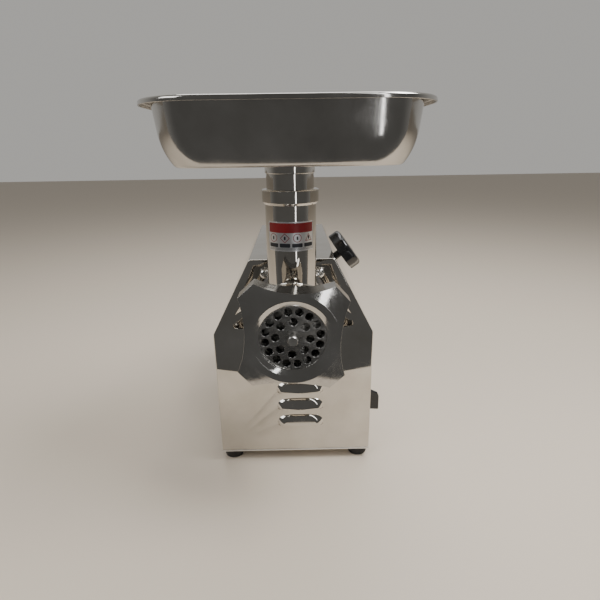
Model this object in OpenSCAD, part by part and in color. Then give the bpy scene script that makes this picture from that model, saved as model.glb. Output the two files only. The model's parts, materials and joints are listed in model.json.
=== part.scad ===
// Electric meat grinder: sheet-metal housing with a geared motor inside, a pull-out
// cast head with a feed tube, a lift-off tray, a worm auger, knife, plate and ring nut.
// Millimetres. Z is up and the front faces -Y. The origin is on the table surface,
// under the middle of the whole machine.

/* [Housing] */
// Width of the housing across its upright sides
body_width = 194.4; // [190:0.2:200]
// Width of the flat top of the housing
top_width = 99.4; // [96:0.2:104]
// Depth of the housing, front to back
body_depth = 246; // [240:1:260]
// Height of the underside of the housing above the table
foot_height = 14; // [12:0.5:16]
// Height where the upright sides start to lean inwards
side_break_z = 182.4; // [178:0.2:186]
// Height of the flat top of the housing
top_z = 275; // [272:0.5:279]
// Thickness of the sheet steel
sheet = 1.2; // [1:0.1:1.5]
// Y position of the face of the front panel
front_y = -60.5; // [-61:0.5:-60]

/* [Head] */
// Height of the grinding axis above the table
axis_z = 226.7; // [226.7:0.1:226.7]
// Radius of the neck that plugs into the machine
neck_r = 26; // [25:0.5:27]
// Outer radius of the feed tube
tube_r = 26; // [25.5:0.1:26.4]
// Inner radius of the upper part of the feed tube
tube_bore_r = 24.1; // [24.1:0.05:24.3]
// Outer radius of the collar on top of the feed tube
collar_r = 28.7; // [28:0.1:29.5]
// Height of the top of the feed tube
tube_top_z = 357; // [355:1:360]
// Y position of the axis of the feed tube
tube_y = -97.5; // [-98:0.5:-97]

/* [Cutting set] */
// Radius of the hole plate
plate_r = 35; // [35:0.1:35]
// Thickness of the hole plate
plate_t = 8; // [7:0.5:9]
// Radius of each hole in the plate
plate_hole_r = 4; // [3:0.5:4]
// Turn of the ring nut past its straight position
nut_turn = 3; // [0:0.5:5]
// Y position of the face of the plate
plate_face_y = -175.5; // [-176:0.5:-175]

/* [Tray] */
// Width of the tray over its rim
tray_width = 253; // [244:1:256]
// Depth of the tray over its rim, front to back
tray_depth = 200; // [196:1:200]
// Height of the rim of the tray above the table
tray_top_z = 434.7; // [430:0.1:440]
// Height of the underside of the tray above the table
tray_floor_z = 380.6; // [378:0.1:384]
// Width of the flange round the tray
rim_flange = 10; // [9:0.5:11]

/* [Gears] */
// Teeth of the gear on the output shaft
output_teeth = 40; // [40:1:40]
// Teeth of both pinions
pinion_teeth = 14; // [14:1:14]
// Teeth of the gear on the layshaft
lay_teeth = 44; // [44:1:44]
// Module of the output pair
output_module = 1.75; // [1.75:0.05:1.75]
// Module of the motor pair
motor_module = 1.5; // [1.5:0.05:1.5]

/* [Clamp knob] */
// Angle of the clamp screw above the horizontal
clamp_angle = 36; // [35:1:37]
// Radius of the clamp knob
knob_r = 25; // [24:0.5:26]
// Distance of the clamp screw behind the front panel
clamp_back = 50; // [49:1:51]

/* [Hidden] */
$fn = 96;

// Colours
steel = "silver";
bright = "gainsboro";
casting = "darkgray";
black = "#202022";
rubber = "#161618";
bronze = "#b08d4a";

// Housing
back_y = front_y + body_depth;
skin_z = foot_height + 2;
flange_depth = 12;
bend_r = 3;
foot_places = [
    for (x = [-1, 1], y = [front_y + 17, back_y - 17]) [x * (body_width / 2 - 13.2), y]
];
foot_hole_r = 2.6;
tab_t = 2;
slot_w = 4;

// Pressed hood louvres: size of one, and the height of the lower edge of each
louvre_w = 60;
louvre_h = 15;
louvre_out = 5.5;
louvre_x = 7;
louvre_zs = [54.5, 78.5, 102.5];
rear_louvre_zs = [70, 95, 120, 145, 170];

// Screws of the rear panel, as X and Z
screw_r = 2;
rear_screw_places = [
    [-62, 24], [62, 24], [-85, 170], [85, 170], [-42, 262], [42, 262]
];

// Rotary switch on the right side: its bush through the wall, and its knob with a pointer fin
switch_y = -13;
switch_z = 62;
switch_size = 32;
switch_bush_r = 9;
switch_spindle_r = 3;
switch_disc_r = 17;
switch_disc_t = 4;
switch_fin_t = 5;
switch_out = 20;

// Inlet gland for the supply lead
gland_x = -55;
gland_z = 50;
gland_bore_r = 4.2;

// Running clearance between a shaft and its bearing
shaft_clearance = 0.04;

// Drive axes, one above the other in the middle plane
output_distance = output_module * (output_teeth + pinion_teeth) / 2;
motor_distance = motor_module * (lay_teeth + pinion_teeth) / 2;
lay_z = axis_z - output_distance;
motor_z = lay_z - motor_distance;

// The teeth of meshing gears are set so that a tooth meets a space on the line of centres
output_phase = 90;
lay_pinion_phase = 90 + 180 / pinion_teeth;
lay_gear_phase = 90;
motor_pinion_phase = 90 + 180 / pinion_teeth;

// Stations of the drive along Y
socket_front_y = front_y + sheet;
case_front_y = 14;
case_inner_y = 22;
cover_y = 69;
cover_t = 6;
motor_front_y = 75;
motor_back_y = 166;

// Radii of the two bearings of the output shaft and of the two of the layshaft
output_r = 12.5;
output_bearing_r = 23.5;
output_tail_r = 10;
tail_bearing_r = 21;
lay_r = 7.5;
lay_bearing_r = 16;
motor_shaft_r = 6;
rotor_seat_r = 8;

// Half the spacing of the bolts of the head socket: front panel, and gearbox
socket_bolt_at = 31.8;
case_screw_at = 27;

// Gearbox and motor
bolt_r = 2.5;
bolt_head_r = 4.5;
bolt_head_h = 3.5;
bracket_top_z = motor_z - 29;
case_bolt_places = [
    [37.5, axis_z + 21], [-37.5, axis_z + 21], [43.5, 203], [-43.5, 203],
    [34, 151], [-34, 151], [0, motor_z - 22.5]
];
motor_r = 55;
motor_bolt_places = [for (a = [45:90:315]) [46 * cos(a), motor_z + 46 * sin(a)]];
capacitor_x = -66;
capacitor_r = 17.5;

// Hexagonal tang of the auger in the output shaft
hex_flats = 14;
hex_r = hex_flats / 2 / cos(30);
tang_end_y = 36;

// Cutting set and head
nut_face_y = plate_face_y - 4.5;
barrel_front_y = plate_face_y + 3.5;
knife_y = plate_face_y + plate_t;
stud_r = 5;
square_w = 13;
key_r = 2.5;
key_z = axis_z - plate_r - 0.2;
key_end_y = barrel_front_y + 11;
barrel_r = 37.5;
thread_r = 41;
neck_end_y = 8;
shoulder_y = -66;
journal_r = 14;
bushing_r = 17;
flight_front_y = knife_y + 11.5;
flight_back_y = -70;
flight_pitch = 34;
flight_r = 28.4;

// Ring nut: face radius, lobe tips, and the circles that cut the hollow flanks
nut_end_y = -155;
nut_face_r = 44.5;
nut_opening_r = 32;
lobe_y = nut_face_y + 5.5;
lobe_r = 64.1;
cut_r = 107;
cut_at = nut_face_r + 0.5 + cut_r;

// Feed tube and the spigot of the tray
spigot_r = 24.05;
spigot_stop_z = 325;
collar_z = tube_top_z - 13;
tray_bore_r = spigot_r - 1;
label_angle = 114;
label_z = 298;
label_h = 29.3;

// Plan distances from the axis of a corner of the tray: the wall under the rim, and the rim
tray_wall = 1.2;
wall_u = 45;
rim_u = wall_u + rim_flange;
corner_x = tray_width / 2 - rim_u;
corner_y = tray_depth / 2 - rim_u;
tray_lean = 7;
tray_round = 5;
rim_round = 2;
rim_drop = 4.5;

// Long sweep of the wall: its radius, the height at which it meets the straight part of the
// wall, and its centre, as plan distance from the corner axis and height
sweep_r = 56.5;
sweep_height = 29.5;
sweep_at = [
    wall_u - (tray_top_z - tray_floor_z - sweep_height) * tan(tray_lean) - sweep_r * cos(tray_lean),
    tray_floor_z + sweep_height + sweep_r * sin(tray_lean)
];

// Plan distance of the centre of the small round under the sweep, and where the two meet
round_drop = sweep_at[1] - tray_floor_z - tray_round;
round_u = sweep_at[0] + sqrt(pow(sweep_r - tray_round, 2) - pow(round_drop, 2));
round_angle = asin(round_drop / (sweep_r - tray_round));

// Clamp screw, measured out from the grinding axis
pad_start = neck_r + 0.3;
pad_t = 4;
pad_r = 6.2;
clamp_stud_r = 4.7;
clamp_stud_length = 55.7;
knob_t = 14.5;
knob_back = 74.5;
knob_edge = 5;
flutes = 6;
flute_r = 10;
flute_depth = 2.2;

// A rod along Y from y0 to y1
module rod_y(r, y0, y1, z = axis_z, x = 0) {
    translate([x, y1, z]) rotate([90, 0, 0]) cylinder(r = r, h = y1 - y0);
}

// A rod along Y that tapers from r0 at y0 to r1 at y1
module cone_y(r0, r1, y0, y1, z = axis_z) {
    translate([0, y1, z]) rotate([90, 0, 0]) cylinder(r1 = r1, r2 = r0, h = y1 - y0);
}

// A plane shape in X and Z, extruded along Y from y0 to y1
module slab_y(y0, y1) {
    translate([0, y1, 0]) rotate([90, 0, 0]) linear_extrude(height = y1 - y0) children();
}

// A rounded rectangle, centred, made of squares and circles
module rounded_rect(w, h, r) {
    square([w - 2 * r, h], center = true);
    square([w, h - 2 * r], center = true);
    for (x = [-1, 1], y = [-1, 1])
        translate([x * (w / 2 - r), y * (h / 2 - r)]) circle(r = r);
}

// The outline that a belt round two circles on the Z axis makes
module belt(z0, r0, z1, r1) {
    lean = asin((r0 - r1) / abs(z1 - z0));
    side = sign(z1 - z0);
    translate([0, z0]) circle(r = r0);
    translate([0, z1]) circle(r = r1);
    polygon([
        [r0 * cos(lean), z0 + side * r0 * sin(lean)],
        [r1 * cos(lean), z1 + side * r1 * sin(lean)],
        [-r1 * cos(lean), z1 + side * r1 * sin(lean)],
        [-r0 * cos(lean), z0 + side * r0 * sin(lean)]
    ]);
}

// Turns its children about the drive axis to the place where the ring nut comes tight
module tightened() {
    translate([0, 0, axis_z]) rotate([0, nut_turn, 0]) translate([0, 0, -axis_z]) children();
}

// Outline of the housing seen from the front, drawn in by the amount inset except below
module housing_outline(inset = 0) {
    intersection() {
        offset(delta = -inset) offset(r = bend_r) offset(delta = -bend_r)
            polygon([
                [-body_width / 2, 0], [body_width / 2, 0],
                [body_width / 2, side_break_z], [top_width / 2, top_z],
                [-top_width / 2, top_z], [-body_width / 2, side_break_z]
            ]);
        translate([-body_width, skin_z]) square([2 * body_width, top_z]);
    }
}

// Copies its children at the four corners of a rectangle in X and Z round the axis
module at_corners(dx, dz, z = axis_z) {
    for (x = [-1, 1], s = [-1, 1]) translate([x * dx, 0, z + s * dz]) children();
}

// Polar angle of the involute of a base circle at the radius r
function involute_angle(base, r) =
    let (c = base / r, a = acos(c)) tan(a) * 180 / PI - a;

// Spur gear outline with involute flanks, 20 degree pressure angle
module gear_outline(teeth, mod, backlash = 0.12) {
    pitch = mod * teeth / 2;
    base = pitch * cos(20);
    tip = pitch + mod;
    root = pitch - 1.25 * mod;
    start = max(base, root);
    half = 90 / teeth - backlash / pitch * 90 / PI + involute_angle(base, pitch);
    steps = 5;
    radii = [for (i = [0:steps]) start + (tip - start) * i / steps];
    tooth = concat(
        [[root, -half]],
        [for (r = radii) [r, -half + involute_angle(base, r)]],
        [for (i = [steps:-1:0]) [radii[i], half - involute_angle(base, radii[i])]],
        [[root, half]]
    );
    polygon([
        for (t = [0:teeth - 1]) for (p = tooth)
            let (a = p[1] + t * 360 / teeth) [p[0] * cos(a), p[0] * sin(a)]
    ]);
}

// Gear on a Y axis at height z, from y0 to y1, with one tooth turned by phase from +X
module gear_y(teeth, mod, y0, y1, z, phase) {
    translate([0, y1, z]) rotate([90, 0, 0]) rotate(phase)
        linear_extrude(height = y1 - y0) gear_outline(teeth, mod);
}

// Ball bearing drawn as one ring, with running clearance on the shaft of radius r_in
module bearing(r_in, r_out, y0, y1, z) {
    difference() {
        rod_y(r_out, y0, y1, z);
        rod_y(r_in + shaft_clearance, y0 - 1, y1 + 1, z);
    }
}

// ---------------------------------------------------------------- housing

// Base plate with the vents under the motor and the tabs for the lowest screws
module base_plate() {
    color(steel) difference() {
        union() {
            translate([-body_width / 2, front_y, foot_height])
                cube([body_width, body_depth, skin_z - foot_height]);
            for (y = [front_y + 12.5, back_y - 14.5]) translate([-70, y, skin_z - 0.5])
                cube([140, tab_t, 14.5]);
        }
        for (p = foot_places) translate([p[0], p[1], foot_height - 1]) cylinder(r = foot_hole_r, h = 5);
        for (x = [-1, 0, 1], y = [0:5])
            translate([x * 45 - 15, 40 + y * 12, foot_height - 1]) cube([30, slot_w, 5]);
        for (p = rear_screw_places) rod_y(screw_r, back_y - 18, back_y, p[1], p[0]);
    }
}

// Round feet that widen upwards, hollow underneath for the screw heads
module rubber_feet() {
    color(rubber) for (p = foot_places) translate([p[0], p[1], 0]) difference() {
        union() {
            cylinder(r1 = 12.2, r2 = 13.2, h = foot_height - 1);
            translate([0, 0, foot_height - 1]) cylinder(r = 12.4, h = 1);
        }
        translate([0, 0, -1]) cylinder(r = 5, h = 7);
        translate([0, 0, -1]) cylinder(r = foot_hole_r, h = foot_height + 2);
    }
}

// Screws up through the feet, with their nuts inside on the base plate
module foot_screws() {
    color(steel) for (p = foot_places) translate([p[0], p[1], 0]) {
        translate([0, 0, 3]) cylinder(r = 4.6, h = 3);
        translate([0, 0, 5.5]) cylinder(r = 2.5, h = 15);
        translate([0, 0, skin_z]) cylinder(r = 4.8, h = 4, $fn = 6);
    }
}

// Folded sheet round both sides and the top, between the two end panels
module wrap_shell() {
    color(steel) difference() {
        union() {
            slab_y(front_y + sheet, back_y - sheet) difference() {
                housing_outline();
                housing_outline(sheet);
            }
            for (s = [-1, 1]) {
                translate([s * (body_width / 2 - 10.5) - 10, back_y - 15, 162]) cube([20, tab_t, 16]);
                translate([s * 42 - 8, back_y - 15, top_z - 20]) cube([16, tab_t, 19.5]);
            }
        }
        clamp_axis() cylinder(r = 8, h = 100);
        for (p = rear_screw_places) rod_y(screw_r, back_y - 18, back_y, p[1], p[0]);
        switch_axis(body_width / 2 - 3) cylinder(r = switch_bush_r + 0.2, h = 6);
        for (side = [-1, 1], i = [0:5])
            translate([side * body_width / 2 - 3, 70 + i * 14, 60]) cube([6, slot_w, 46]);
    }
}

// End panel: a flat face with a flange turned back along its edge, face at y0
module end_panel(y0, inward) {
    y1 = y0 + inward * flange_depth;
    slab_y(min(y0, y0 + inward * sheet), max(y0, y0 + inward * sheet)) housing_outline();
    slab_y(min(y0, y1), max(y0, y1)) difference() {
        housing_outline(sheet + 0.1);
        housing_outline(2 * sheet + 0.1);
    }
}

// Front outline of a pressed hood: wide at its open lower edge and rounded at the top
module hood_outline(inset) {
    w = louvre_w / 2 - inset;
    polygon([
        [-w, 0], [w, 0], [w - 4, louvre_h * 0.55 - inset / 2], [w - 11, louvre_h - inset],
        [-w + 11, louvre_h - inset], [-w + 4, louvre_h * 0.55 - inset / 2]
    ]);
}

// Solid of a hood with its lower edge at z = 0, standing out in the direction out
module hood_solid(inset, out) {
    depth = louvre_out - inset;
    intersection() {
        translate([0, 40, 0]) rotate([90, 0, 0]) linear_extrude(height = 80) hood_outline(inset);
        rotate([90, 0, 90]) translate([0, 0, -louvre_w / 2]) linear_extrude(height = louvre_w)
            union() {
                polygon([
                    [0, 0], [out * depth, 0], [out * depth, louvre_h * 0.35],
                    [out * depth * 0.6, louvre_h * 0.72], [0, louvre_h - inset]
                ]);
                translate([out > 0 ? -sheet : 0, 0]) square([sheet, louvre_h - inset]);
            }
    }
}

// A hood louvre added to a panel, with its vent cut behind it
module with_louvres(x, zs, y, out) {
    difference() {
        union() {
            children();
            for (z = zs) translate([x, y, z]) hood_solid(0, out);
        }
        for (z = zs) translate([x, y, z - 0.01]) hood_solid(1, out);
    }
}

// Front panel with three louvres under the hole for the head
module front_panel() {
    color(steel) difference() {
        with_louvres(louvre_x, louvre_zs, front_y, -1) end_panel(front_y, 1);
        rod_y(33.5, front_y - 3, front_y + 5);
        at_corners(socket_bolt_at, socket_bolt_at) rotate([90, 0, 0])
            translate([0, 0, -front_y - 5]) cylinder(r = 3.2, h = 10);
    }
}

// Rear panel with five louvres, the gland hole and the screw holes
module rear_panel() {
    color(steel) difference() {
        with_louvres(0, rear_louvre_zs, back_y, 1) end_panel(back_y, -1);
        rod_y(8.2, back_y - 5, back_y + 3, gland_z, gland_x);
        for (p = rear_screw_places) rod_y(2.1, back_y - 5, back_y + 3, p[1], p[0]);
    }
}

// Cross-head screws of the rear panel
module rear_screws() {
    color(bright) for (p = rear_screw_places) {
        difference() {
            translate([p[0], back_y, p[1]]) rotate([-90, 0, 0])
                cylinder(r1 = 4, r2 = 3, h = 2.2);
            translate([p[0] - 3, back_y + 1.2, p[1] - 0.5]) cube([6, 2, 1]);
            translate([p[0] - 0.5, back_y + 1.2, p[1] - 3]) cube([1, 2, 6]);
        }
        rod_y(screw_r, back_y - 17, back_y + 0.1, p[1], p[0]);
    }
}

// Places its children on the axis of the switch, facing outwards from the plane x
module switch_axis(x) {
    translate([x, switch_y, switch_z]) rotate([0, 90, 0]) children();
}

// Body of the rotary switch against the inside of the wall, with its bush and two terminals
module switch_body() {
    color(black) difference() {
        union() {
            translate([body_width / 2 - sheet - 22, switch_y - switch_size / 2, switch_z - switch_size / 2])
                cube([22, switch_size, switch_size]);
            switch_axis(body_width / 2 - sheet - 1) cylinder(r = switch_bush_r, h = sheet + 2);
            for (z = [-8, 8]) translate([body_width / 2 - sheet - 30, switch_y - 3, switch_z + z - 0.5])
                cube([9, 6, 1]);
        }
        switch_axis(body_width / 2 - 14) cylinder(r = switch_spindle_r + 0.05, h = 20);
    }
}

// Knob of the switch: spindle, round base over the bush, and a pointer fin with a sloping top
module switch_knob() {
    color(black) union() {
        switch_axis(body_width / 2 - 13) cylinder(r = switch_spindle_r, h = 15);
        difference() {
            switch_axis(body_width / 2 + 0.3) cylinder(r = switch_disc_r, h = switch_disc_t);
            switch_axis(body_width / 2 - 1) cylinder(r = switch_bush_r + 0.3, h = 2.3);
        }
        translate([body_width / 2, switch_y + switch_fin_t / 2, switch_z - switch_disc_r])
            rotate([90, 0, 0]) linear_extrude(height = switch_fin_t) polygon([
                [2, 1.2], [3, 0], [switch_out, 0], [switch_out, 20.8], [switch_out - 1.7, 25.5],
                [3, 33], [2, 32.5]
            ]);
    }
}

// Inlet gland for the supply lead, through the rear panel
module cord_gland() {
    color(black) difference() {
        union() {
            rod_y(8, back_y - 10, back_y + 1, gland_z, gland_x);
            translate([gland_x, back_y, gland_z]) rotate([-90, 0, 0])
                cylinder(r = 11, h = 4, $fn = 6);
            translate([gland_x, back_y + 4, gland_z]) rotate([-90, 0, 0])
                cylinder(r1 = 9.5, r2 = 7.5, h = 8);
            translate([gland_x, back_y - 7, gland_z]) rotate([-90, 0, 0])
                cylinder(r = 11, h = 5.5, $fn = 6);
        }
        rod_y(gland_bore_r, back_y - 12, back_y + 14, gland_z, gland_x);
    }
}

// ---------------------------------------------------------------- gearbox

// Hexagon head that stands out from the plane y at a place given as X and Z
module hex_head(p, y) {
    translate([p[0], y + bolt_head_h, p[1]]) rotate([90, 0, 0])
        cylinder(r = bolt_head_r, h = bolt_head_h, $fn = 6);
}

// Outline of the gearbox, drawn out by the amount grow
module case_outline(grow) {
    belt(axis_z, 39 + grow, lay_z, 37 + grow);
    belt(lay_z, 37 + grow, motor_z, 17 + grow);
}

// Gearbox case, open at the back, with bosses for the cover bolts and a foot for the bracket
module gear_case() {
    color(casting) difference() {
        union() {
            difference() {
                union() {
                    slab_y(case_front_y, cover_y) case_outline(4);
                    for (p = case_bolt_places) rod_y(5.5, case_front_y, cover_y, p[1], p[0]);
                    translate([-24, case_front_y + 4, bracket_top_z]) cube([48, 44, 16]);
                }
                slab_y(case_inner_y, cover_y + 1) case_outline(0);
            }
            rod_y(29, case_inner_y - 1, 33, axis_z);
            rod_y(20, case_inner_y - 1, 31, lay_z);
        }
        rod_y(21, case_front_y - 1, 21);
        rod_y(output_bearing_r, 21, 34);
        rod_y(lay_bearing_r, case_inner_y, 32, lay_z);
        for (p = case_bolt_places) rod_y(bolt_r, 50, cover_y + 1, p[1], p[0]);
        at_corners(case_screw_at, case_screw_at) rotate([90, 0, 0])
            translate([0, 0, -case_inner_y + 1]) cylinder(r = 3, h = 20);
        for (x = [-19, 19]) translate([x, 40, bracket_top_z - 1]) cylinder(r = bolt_r, h = 9);
    }
}

// Cover of the gearbox, which also carries the motor
module gear_cover() {
    color(casting) difference() {
        union() {
            slab_y(cover_y, cover_y + cover_t) {
                case_outline(4);
                translate([0, motor_z]) circle(r = motor_r + 2);
                for (p = case_bolt_places) translate([p[0], p[1]]) circle(r = 5.5);
            }
            rod_y(26, cover_y + 1, 84, axis_z);
            rod_y(20, cover_y + 1, 83, lay_z);
        }
        rod_y(output_tail_r + 0.6, cover_y - 1, 90, axis_z);
        rod_y(tail_bearing_r, 70, 82, axis_z);
        rod_y(lay_bearing_r, 70, 79, lay_z);
        rod_y(9, cover_y - 1, 71, lay_z);
        rod_y(13, cover_y - 1, cover_y + cover_t + 1, motor_z);
        for (p = case_bolt_places) rod_y(2.7, cover_y - 1, cover_y + cover_t + 1, p[1], p[0]);
        for (p = motor_bolt_places) rod_y(bolt_r, cover_y - 1, cover_y + cover_t + 1, p[1], p[0]);
    }
}

// The cover bolts have hexagon heads on the motor side and run into the case
module cover_bolts() {
    color(bright) for (p = case_bolt_places) {
        hex_head(p, cover_y + cover_t);
        rod_y(bolt_r, 51, cover_y + cover_t + 0.1, p[1], p[0]);
    }
}

// Carries its children along the clamp screw's axis: Z runs outwards from the grinding axis
module clamp_axis() {
    translate([0, front_y + clamp_back, axis_z]) rotate([0, 90 - clamp_angle, 0]) children();
}

// Socket that holds the neck of the head, bolted to the front panel and to the gearbox
module head_socket() {
    color(casting) difference() {
        union() {
            slab_y(socket_front_y, socket_front_y + 8)
                translate([0, axis_z]) rounded_rect(80, 80, 10);
            rod_y(33, front_y - 2.5, case_front_y);
            slab_y(case_front_y - 8, case_front_y)
                translate([0, axis_z]) rounded_rect(70, 70, 10);
            clamp_axis() translate([0, 0, 28]) cylinder(r = 11, h = 33);
        }
        rod_y(neck_r + 0.05, front_y - 4, case_front_y - 4);
        rod_y(18, case_front_y - 5, case_front_y + 1);
        clamp_axis() cylinder(r = pad_r + 0.3, h = 37.5);
        clamp_axis() cylinder(r = clamp_stud_r + 0.05, h = 70);
        at_corners(socket_bolt_at, socket_bolt_at) rotate([90, 0, 0])
            translate([0, 0, -socket_front_y - 9]) cylinder(r = 3, h = 10);
        at_corners(case_screw_at, case_screw_at) rotate([90, 0, 0])
            translate([0, 0, -case_front_y - 1]) cylinder(r = 3.2, h = 10);
    }
}

// Four dome-head bolts on the front panel, round the neck
module socket_bolts() {
    color(bright) at_corners(socket_bolt_at, socket_bolt_at) {
        intersection() {
            translate([0, front_y + 3.4, 0]) sphere(r = 7.2);
            translate([0, front_y, 0]) rotate([90, 0, 0]) cylinder(r = 6, h = 6);
        }
        translate([0, socket_front_y + 7, 0]) rotate([90, 0, 0]) cylinder(r = 3, h = 8.3);
    }
}

// Screws that hold the socket's rear flange on the gearbox
module case_screws() {
    color(bright) at_corners(case_screw_at, case_screw_at) {
        translate([0, case_front_y - 8, 0]) rotate([90, 0, 0]) cylinder(r = 4.8, h = 3, $fn = 6);
        translate([0, case_inner_y - 1, 0]) rotate([90, 0, 0]) cylinder(r = 3, h = 15.1);
    }
}

// Ball bearings of the output shaft, in the case and in the cover
module output_bearings() {
    color(bright) {
        bearing(output_r, output_bearing_r, 21, 33, axis_z);
        bearing(output_tail_r, tail_bearing_r, 70, 82, axis_z);
    }
}

// Lip seal in front of the output bearing
module oil_seal() {
    color(rubber) bearing(output_r, 21, 14.5, 20.5, axis_z);
}

// Ball bearings of the layshaft, in the case and in the cover
module layshaft_bearings() {
    color(bright) {
        bearing(lay_r, lay_bearing_r, 22, 31, lay_z);
        bearing(lay_r, lay_bearing_r, 70, 79, lay_z);
    }
}

// ---------------------------------------------------------------- motor

// Laminated stator with 24 slots
module motor_stator() {
    color("dimgray") difference() {
        rod_y(motor_r, 92, 150, motor_z);
        rod_y(31.5, 91, 151, motor_z);
        for (a = [0:15:345]) translate([0, 0, motor_z]) rotate([0, a, 0])
            translate([30, 91, -2]) cube([11, 60, 4]);
        for (p = motor_bolt_places) rod_y(2.6, 91, 151, p[1], p[0]);
    }
}

// Winding: one bar in each slot and an end ring on each side
module stator_winding() {
    color("#a5582c") {
        difference() {
            rod_y(41.5, 84.5, 92, motor_z);
            rod_y(32.5, 84, 93, motor_z);
        }
        difference() {
            rod_y(41.5, 150, 158, motor_z);
            rod_y(32.5, 149, 159, motor_z);
        }
        for (a = [0:15:345]) translate([0, 0, motor_z]) rotate([0, a, 0])
            translate([33, 91.9, -1.8]) cube([7.8, 58.2, 3.6]);
    }
}

// Front bell, bolted on the gearbox cover
module motor_front_bell() {
    color(casting) difference() {
        rod_y(motor_r + 2, motor_front_y, 96, motor_z);
        rod_y(motor_r, 92, 97, motor_z);
        rod_y(45, motor_front_y + 5, 93, motor_z);
        rod_y(13, motor_front_y - 1, motor_front_y + 6, motor_z);
        for (p = motor_bolt_places) rod_y(2.6, motor_front_y - 1, 93, p[1], p[0]);
        rod_y(21, motor_front_y - 1, 85, lay_z);
        for (p = case_bolt_places)
            if (p[1] < 170) rod_y(5.5, motor_front_y - 1, motor_front_y + 6, p[1], p[0]);
    }
}

// Rear bell with the rear bearing
module motor_rear_bell() {
    color(casting) difference() {
        union() {
            rod_y(motor_r + 2, 146, 162, motor_z);
            rod_y(20, 161, motor_back_y + 1, motor_z);
        }
        rod_y(motor_r, 145, 150, motor_z);
        rod_y(45, 149, 158.5, motor_z);
        rod_y(12.5, 150, 165, motor_z);
        rod_y(8, 150, motor_back_y + 2, motor_z);
        for (p = motor_bolt_places) rod_y(2.6, 145, 163, p[1], p[0]);
    }
}

// The front bearing sits in its own carrier ring, the rear one in the rear bell
module motor_bearings() {
    color(bright) {
        bearing(motor_shaft_r, 13, motor_front_y, motor_front_y + 5, motor_z);
        bearing(motor_shaft_r, 12.5, 158.5, 165, motor_z);
    }
}

// Through bolts that draw both bells on the cover
module motor_bolts() {
    color(bright) for (p = motor_bolt_places) {
        rod_y(bolt_r, 69.5, 162.1, p[1], p[0]);
        hex_head(p, 162);
    }
}

// Cage rotor
module rotor_core() {
    color("gray") difference() {
        rod_y(31, 94, 148, motor_z);
        rod_y(rotor_seat_r, 93, 149, motor_z);
    }
}

// Motor shaft with the first pinion cut on its front end
module motor_shaft() {
    color(bright) union() {
        rod_y(rotor_seat_r, 80.6, 157.8, motor_z);
        rod_y(motor_shaft_r, 68, 180, motor_z);
        gear_y(pinion_teeth, motor_module, 56, 68.5, motor_z, motor_pinion_phase);
    }
}

// Radial fan behind the motor
module cooling_fan() {
    color(black) difference() {
        union() {
            rod_y(10, 169, 180, motor_z);
            difference() {
                rod_y(42, 169, 170.5, motor_z);
                rod_y(9, 168, 171, motor_z);
            }
            for (a = [0:40:320]) translate([0, 0, motor_z]) rotate([0, a, 0])
                translate([9, 170, -0.8]) cube([32, 9, 1.6]);
        }
        rod_y(motor_shaft_r, 168, 181, motor_z);
    }
}

// Hat-section bracket between the gearbox and the base plate
module support_bracket() {
    color(steel) difference() {
        slab_y(24, 62) {
            translate([-30, bracket_top_z - 3]) square([60, 3]);
            for (s = [-1, 1]) {
                translate([s * 28.5 - 1.5, skin_z]) square([3, bracket_top_z - skin_z]);
                translate([s * 38 - 11, skin_z]) square([22, 3]);
            }
        }
        for (x = [-19, 19]) translate([x, 40, bracket_top_z - 4]) cylinder(r = 2.7, h = 6);
        for (x = [-40, 40], y = [32, 54]) translate([x, y, skin_z - 1]) cylinder(r = 2.6, h = 6);
    }
}

// Screws that hold the bracket on the gearbox and on the base plate
module bracket_screws() {
    color(bright) {
        for (x = [-19, 19]) translate([x, 40, bracket_top_z]) {
            translate([0, 0, -6.5]) cylinder(r = bolt_head_r, h = bolt_head_h, $fn = 6);
            translate([0, 0, -3.1]) cylinder(r = bolt_r, h = 10);
        }
        for (x = [-40, 40], y = [32, 54]) translate([x, y, skin_z]) {
            translate([0, 0, 3]) cylinder(r = bolt_head_r, h = bolt_head_h, $fn = 6);
            cylinder(r = bolt_r, h = 3.1);
        }
    }
}

// Run capacitor lying beside the motor, with two terminal tongues
module run_capacitor() {
    color("lightgray") {
        rod_y(capacitor_r, 70, 140, skin_z + 20, capacitor_x);
        for (s = [-1, 1]) translate([capacitor_x + s * 6 - 0.4, 62, skin_z + 17])
            cube([0.8, 8.1, 6]);
    }
}

// Clip that holds the capacitor on the base plate
module capacitor_clip() {
    color(steel) difference() {
        union() {
            rod_y(capacitor_r + 1.5, 98, 112, skin_z + 20, capacitor_x);
            translate([capacitor_x - 24, 98, skin_z]) cube([48, 14, 1.6]);
        }
        rod_y(capacitor_r, 97, 113, skin_z + 20, capacitor_x);
    }
}

// ---------------------------------------------------------------- output and layshaft

// Output shaft: hollow hexagonal front end that drives the auger, keyed seat for the gear
module output_shaft() {
    color(bright) difference() {
        union() {
            rod_y(output_r, 12, 54, axis_z);
            rod_y(output_r + 3, 33, 36, axis_z);
            rod_y(output_tail_r, 53, 83, axis_z);
        }
        translate([0, 40, axis_z]) rotate([90, 0, 0]) cylinder(r = hex_r + 0.12, h = 40, $fn = 6);
        translate([-2.5, 37.5, axis_z + 10]) cube([5, 15, 5]);
    }
}

// Gear keyed on the output shaft, with six lightening holes
module output_gear() {
    color("gray") difference() {
        gear_y(output_teeth, output_module, 36, 54, axis_z, output_phase);
        rod_y(output_r, 35, 55, axis_z);
        translate([-2.5, 35, axis_z + 10]) cube([5, 20, 5]);
        for (a = [0:60:300]) translate([0, 0, axis_z]) rotate([0, a + 30, 0])
            translate([23, 60, 0]) rotate([90, 0, 0]) cylinder(r = 5, h = 30);
    }
}

// Key between the output shaft and its gear
module gear_key() {
    color(bright) translate([-2.5, 38, axis_z + 10]) cube([5, 14, 5]);
}

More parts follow.
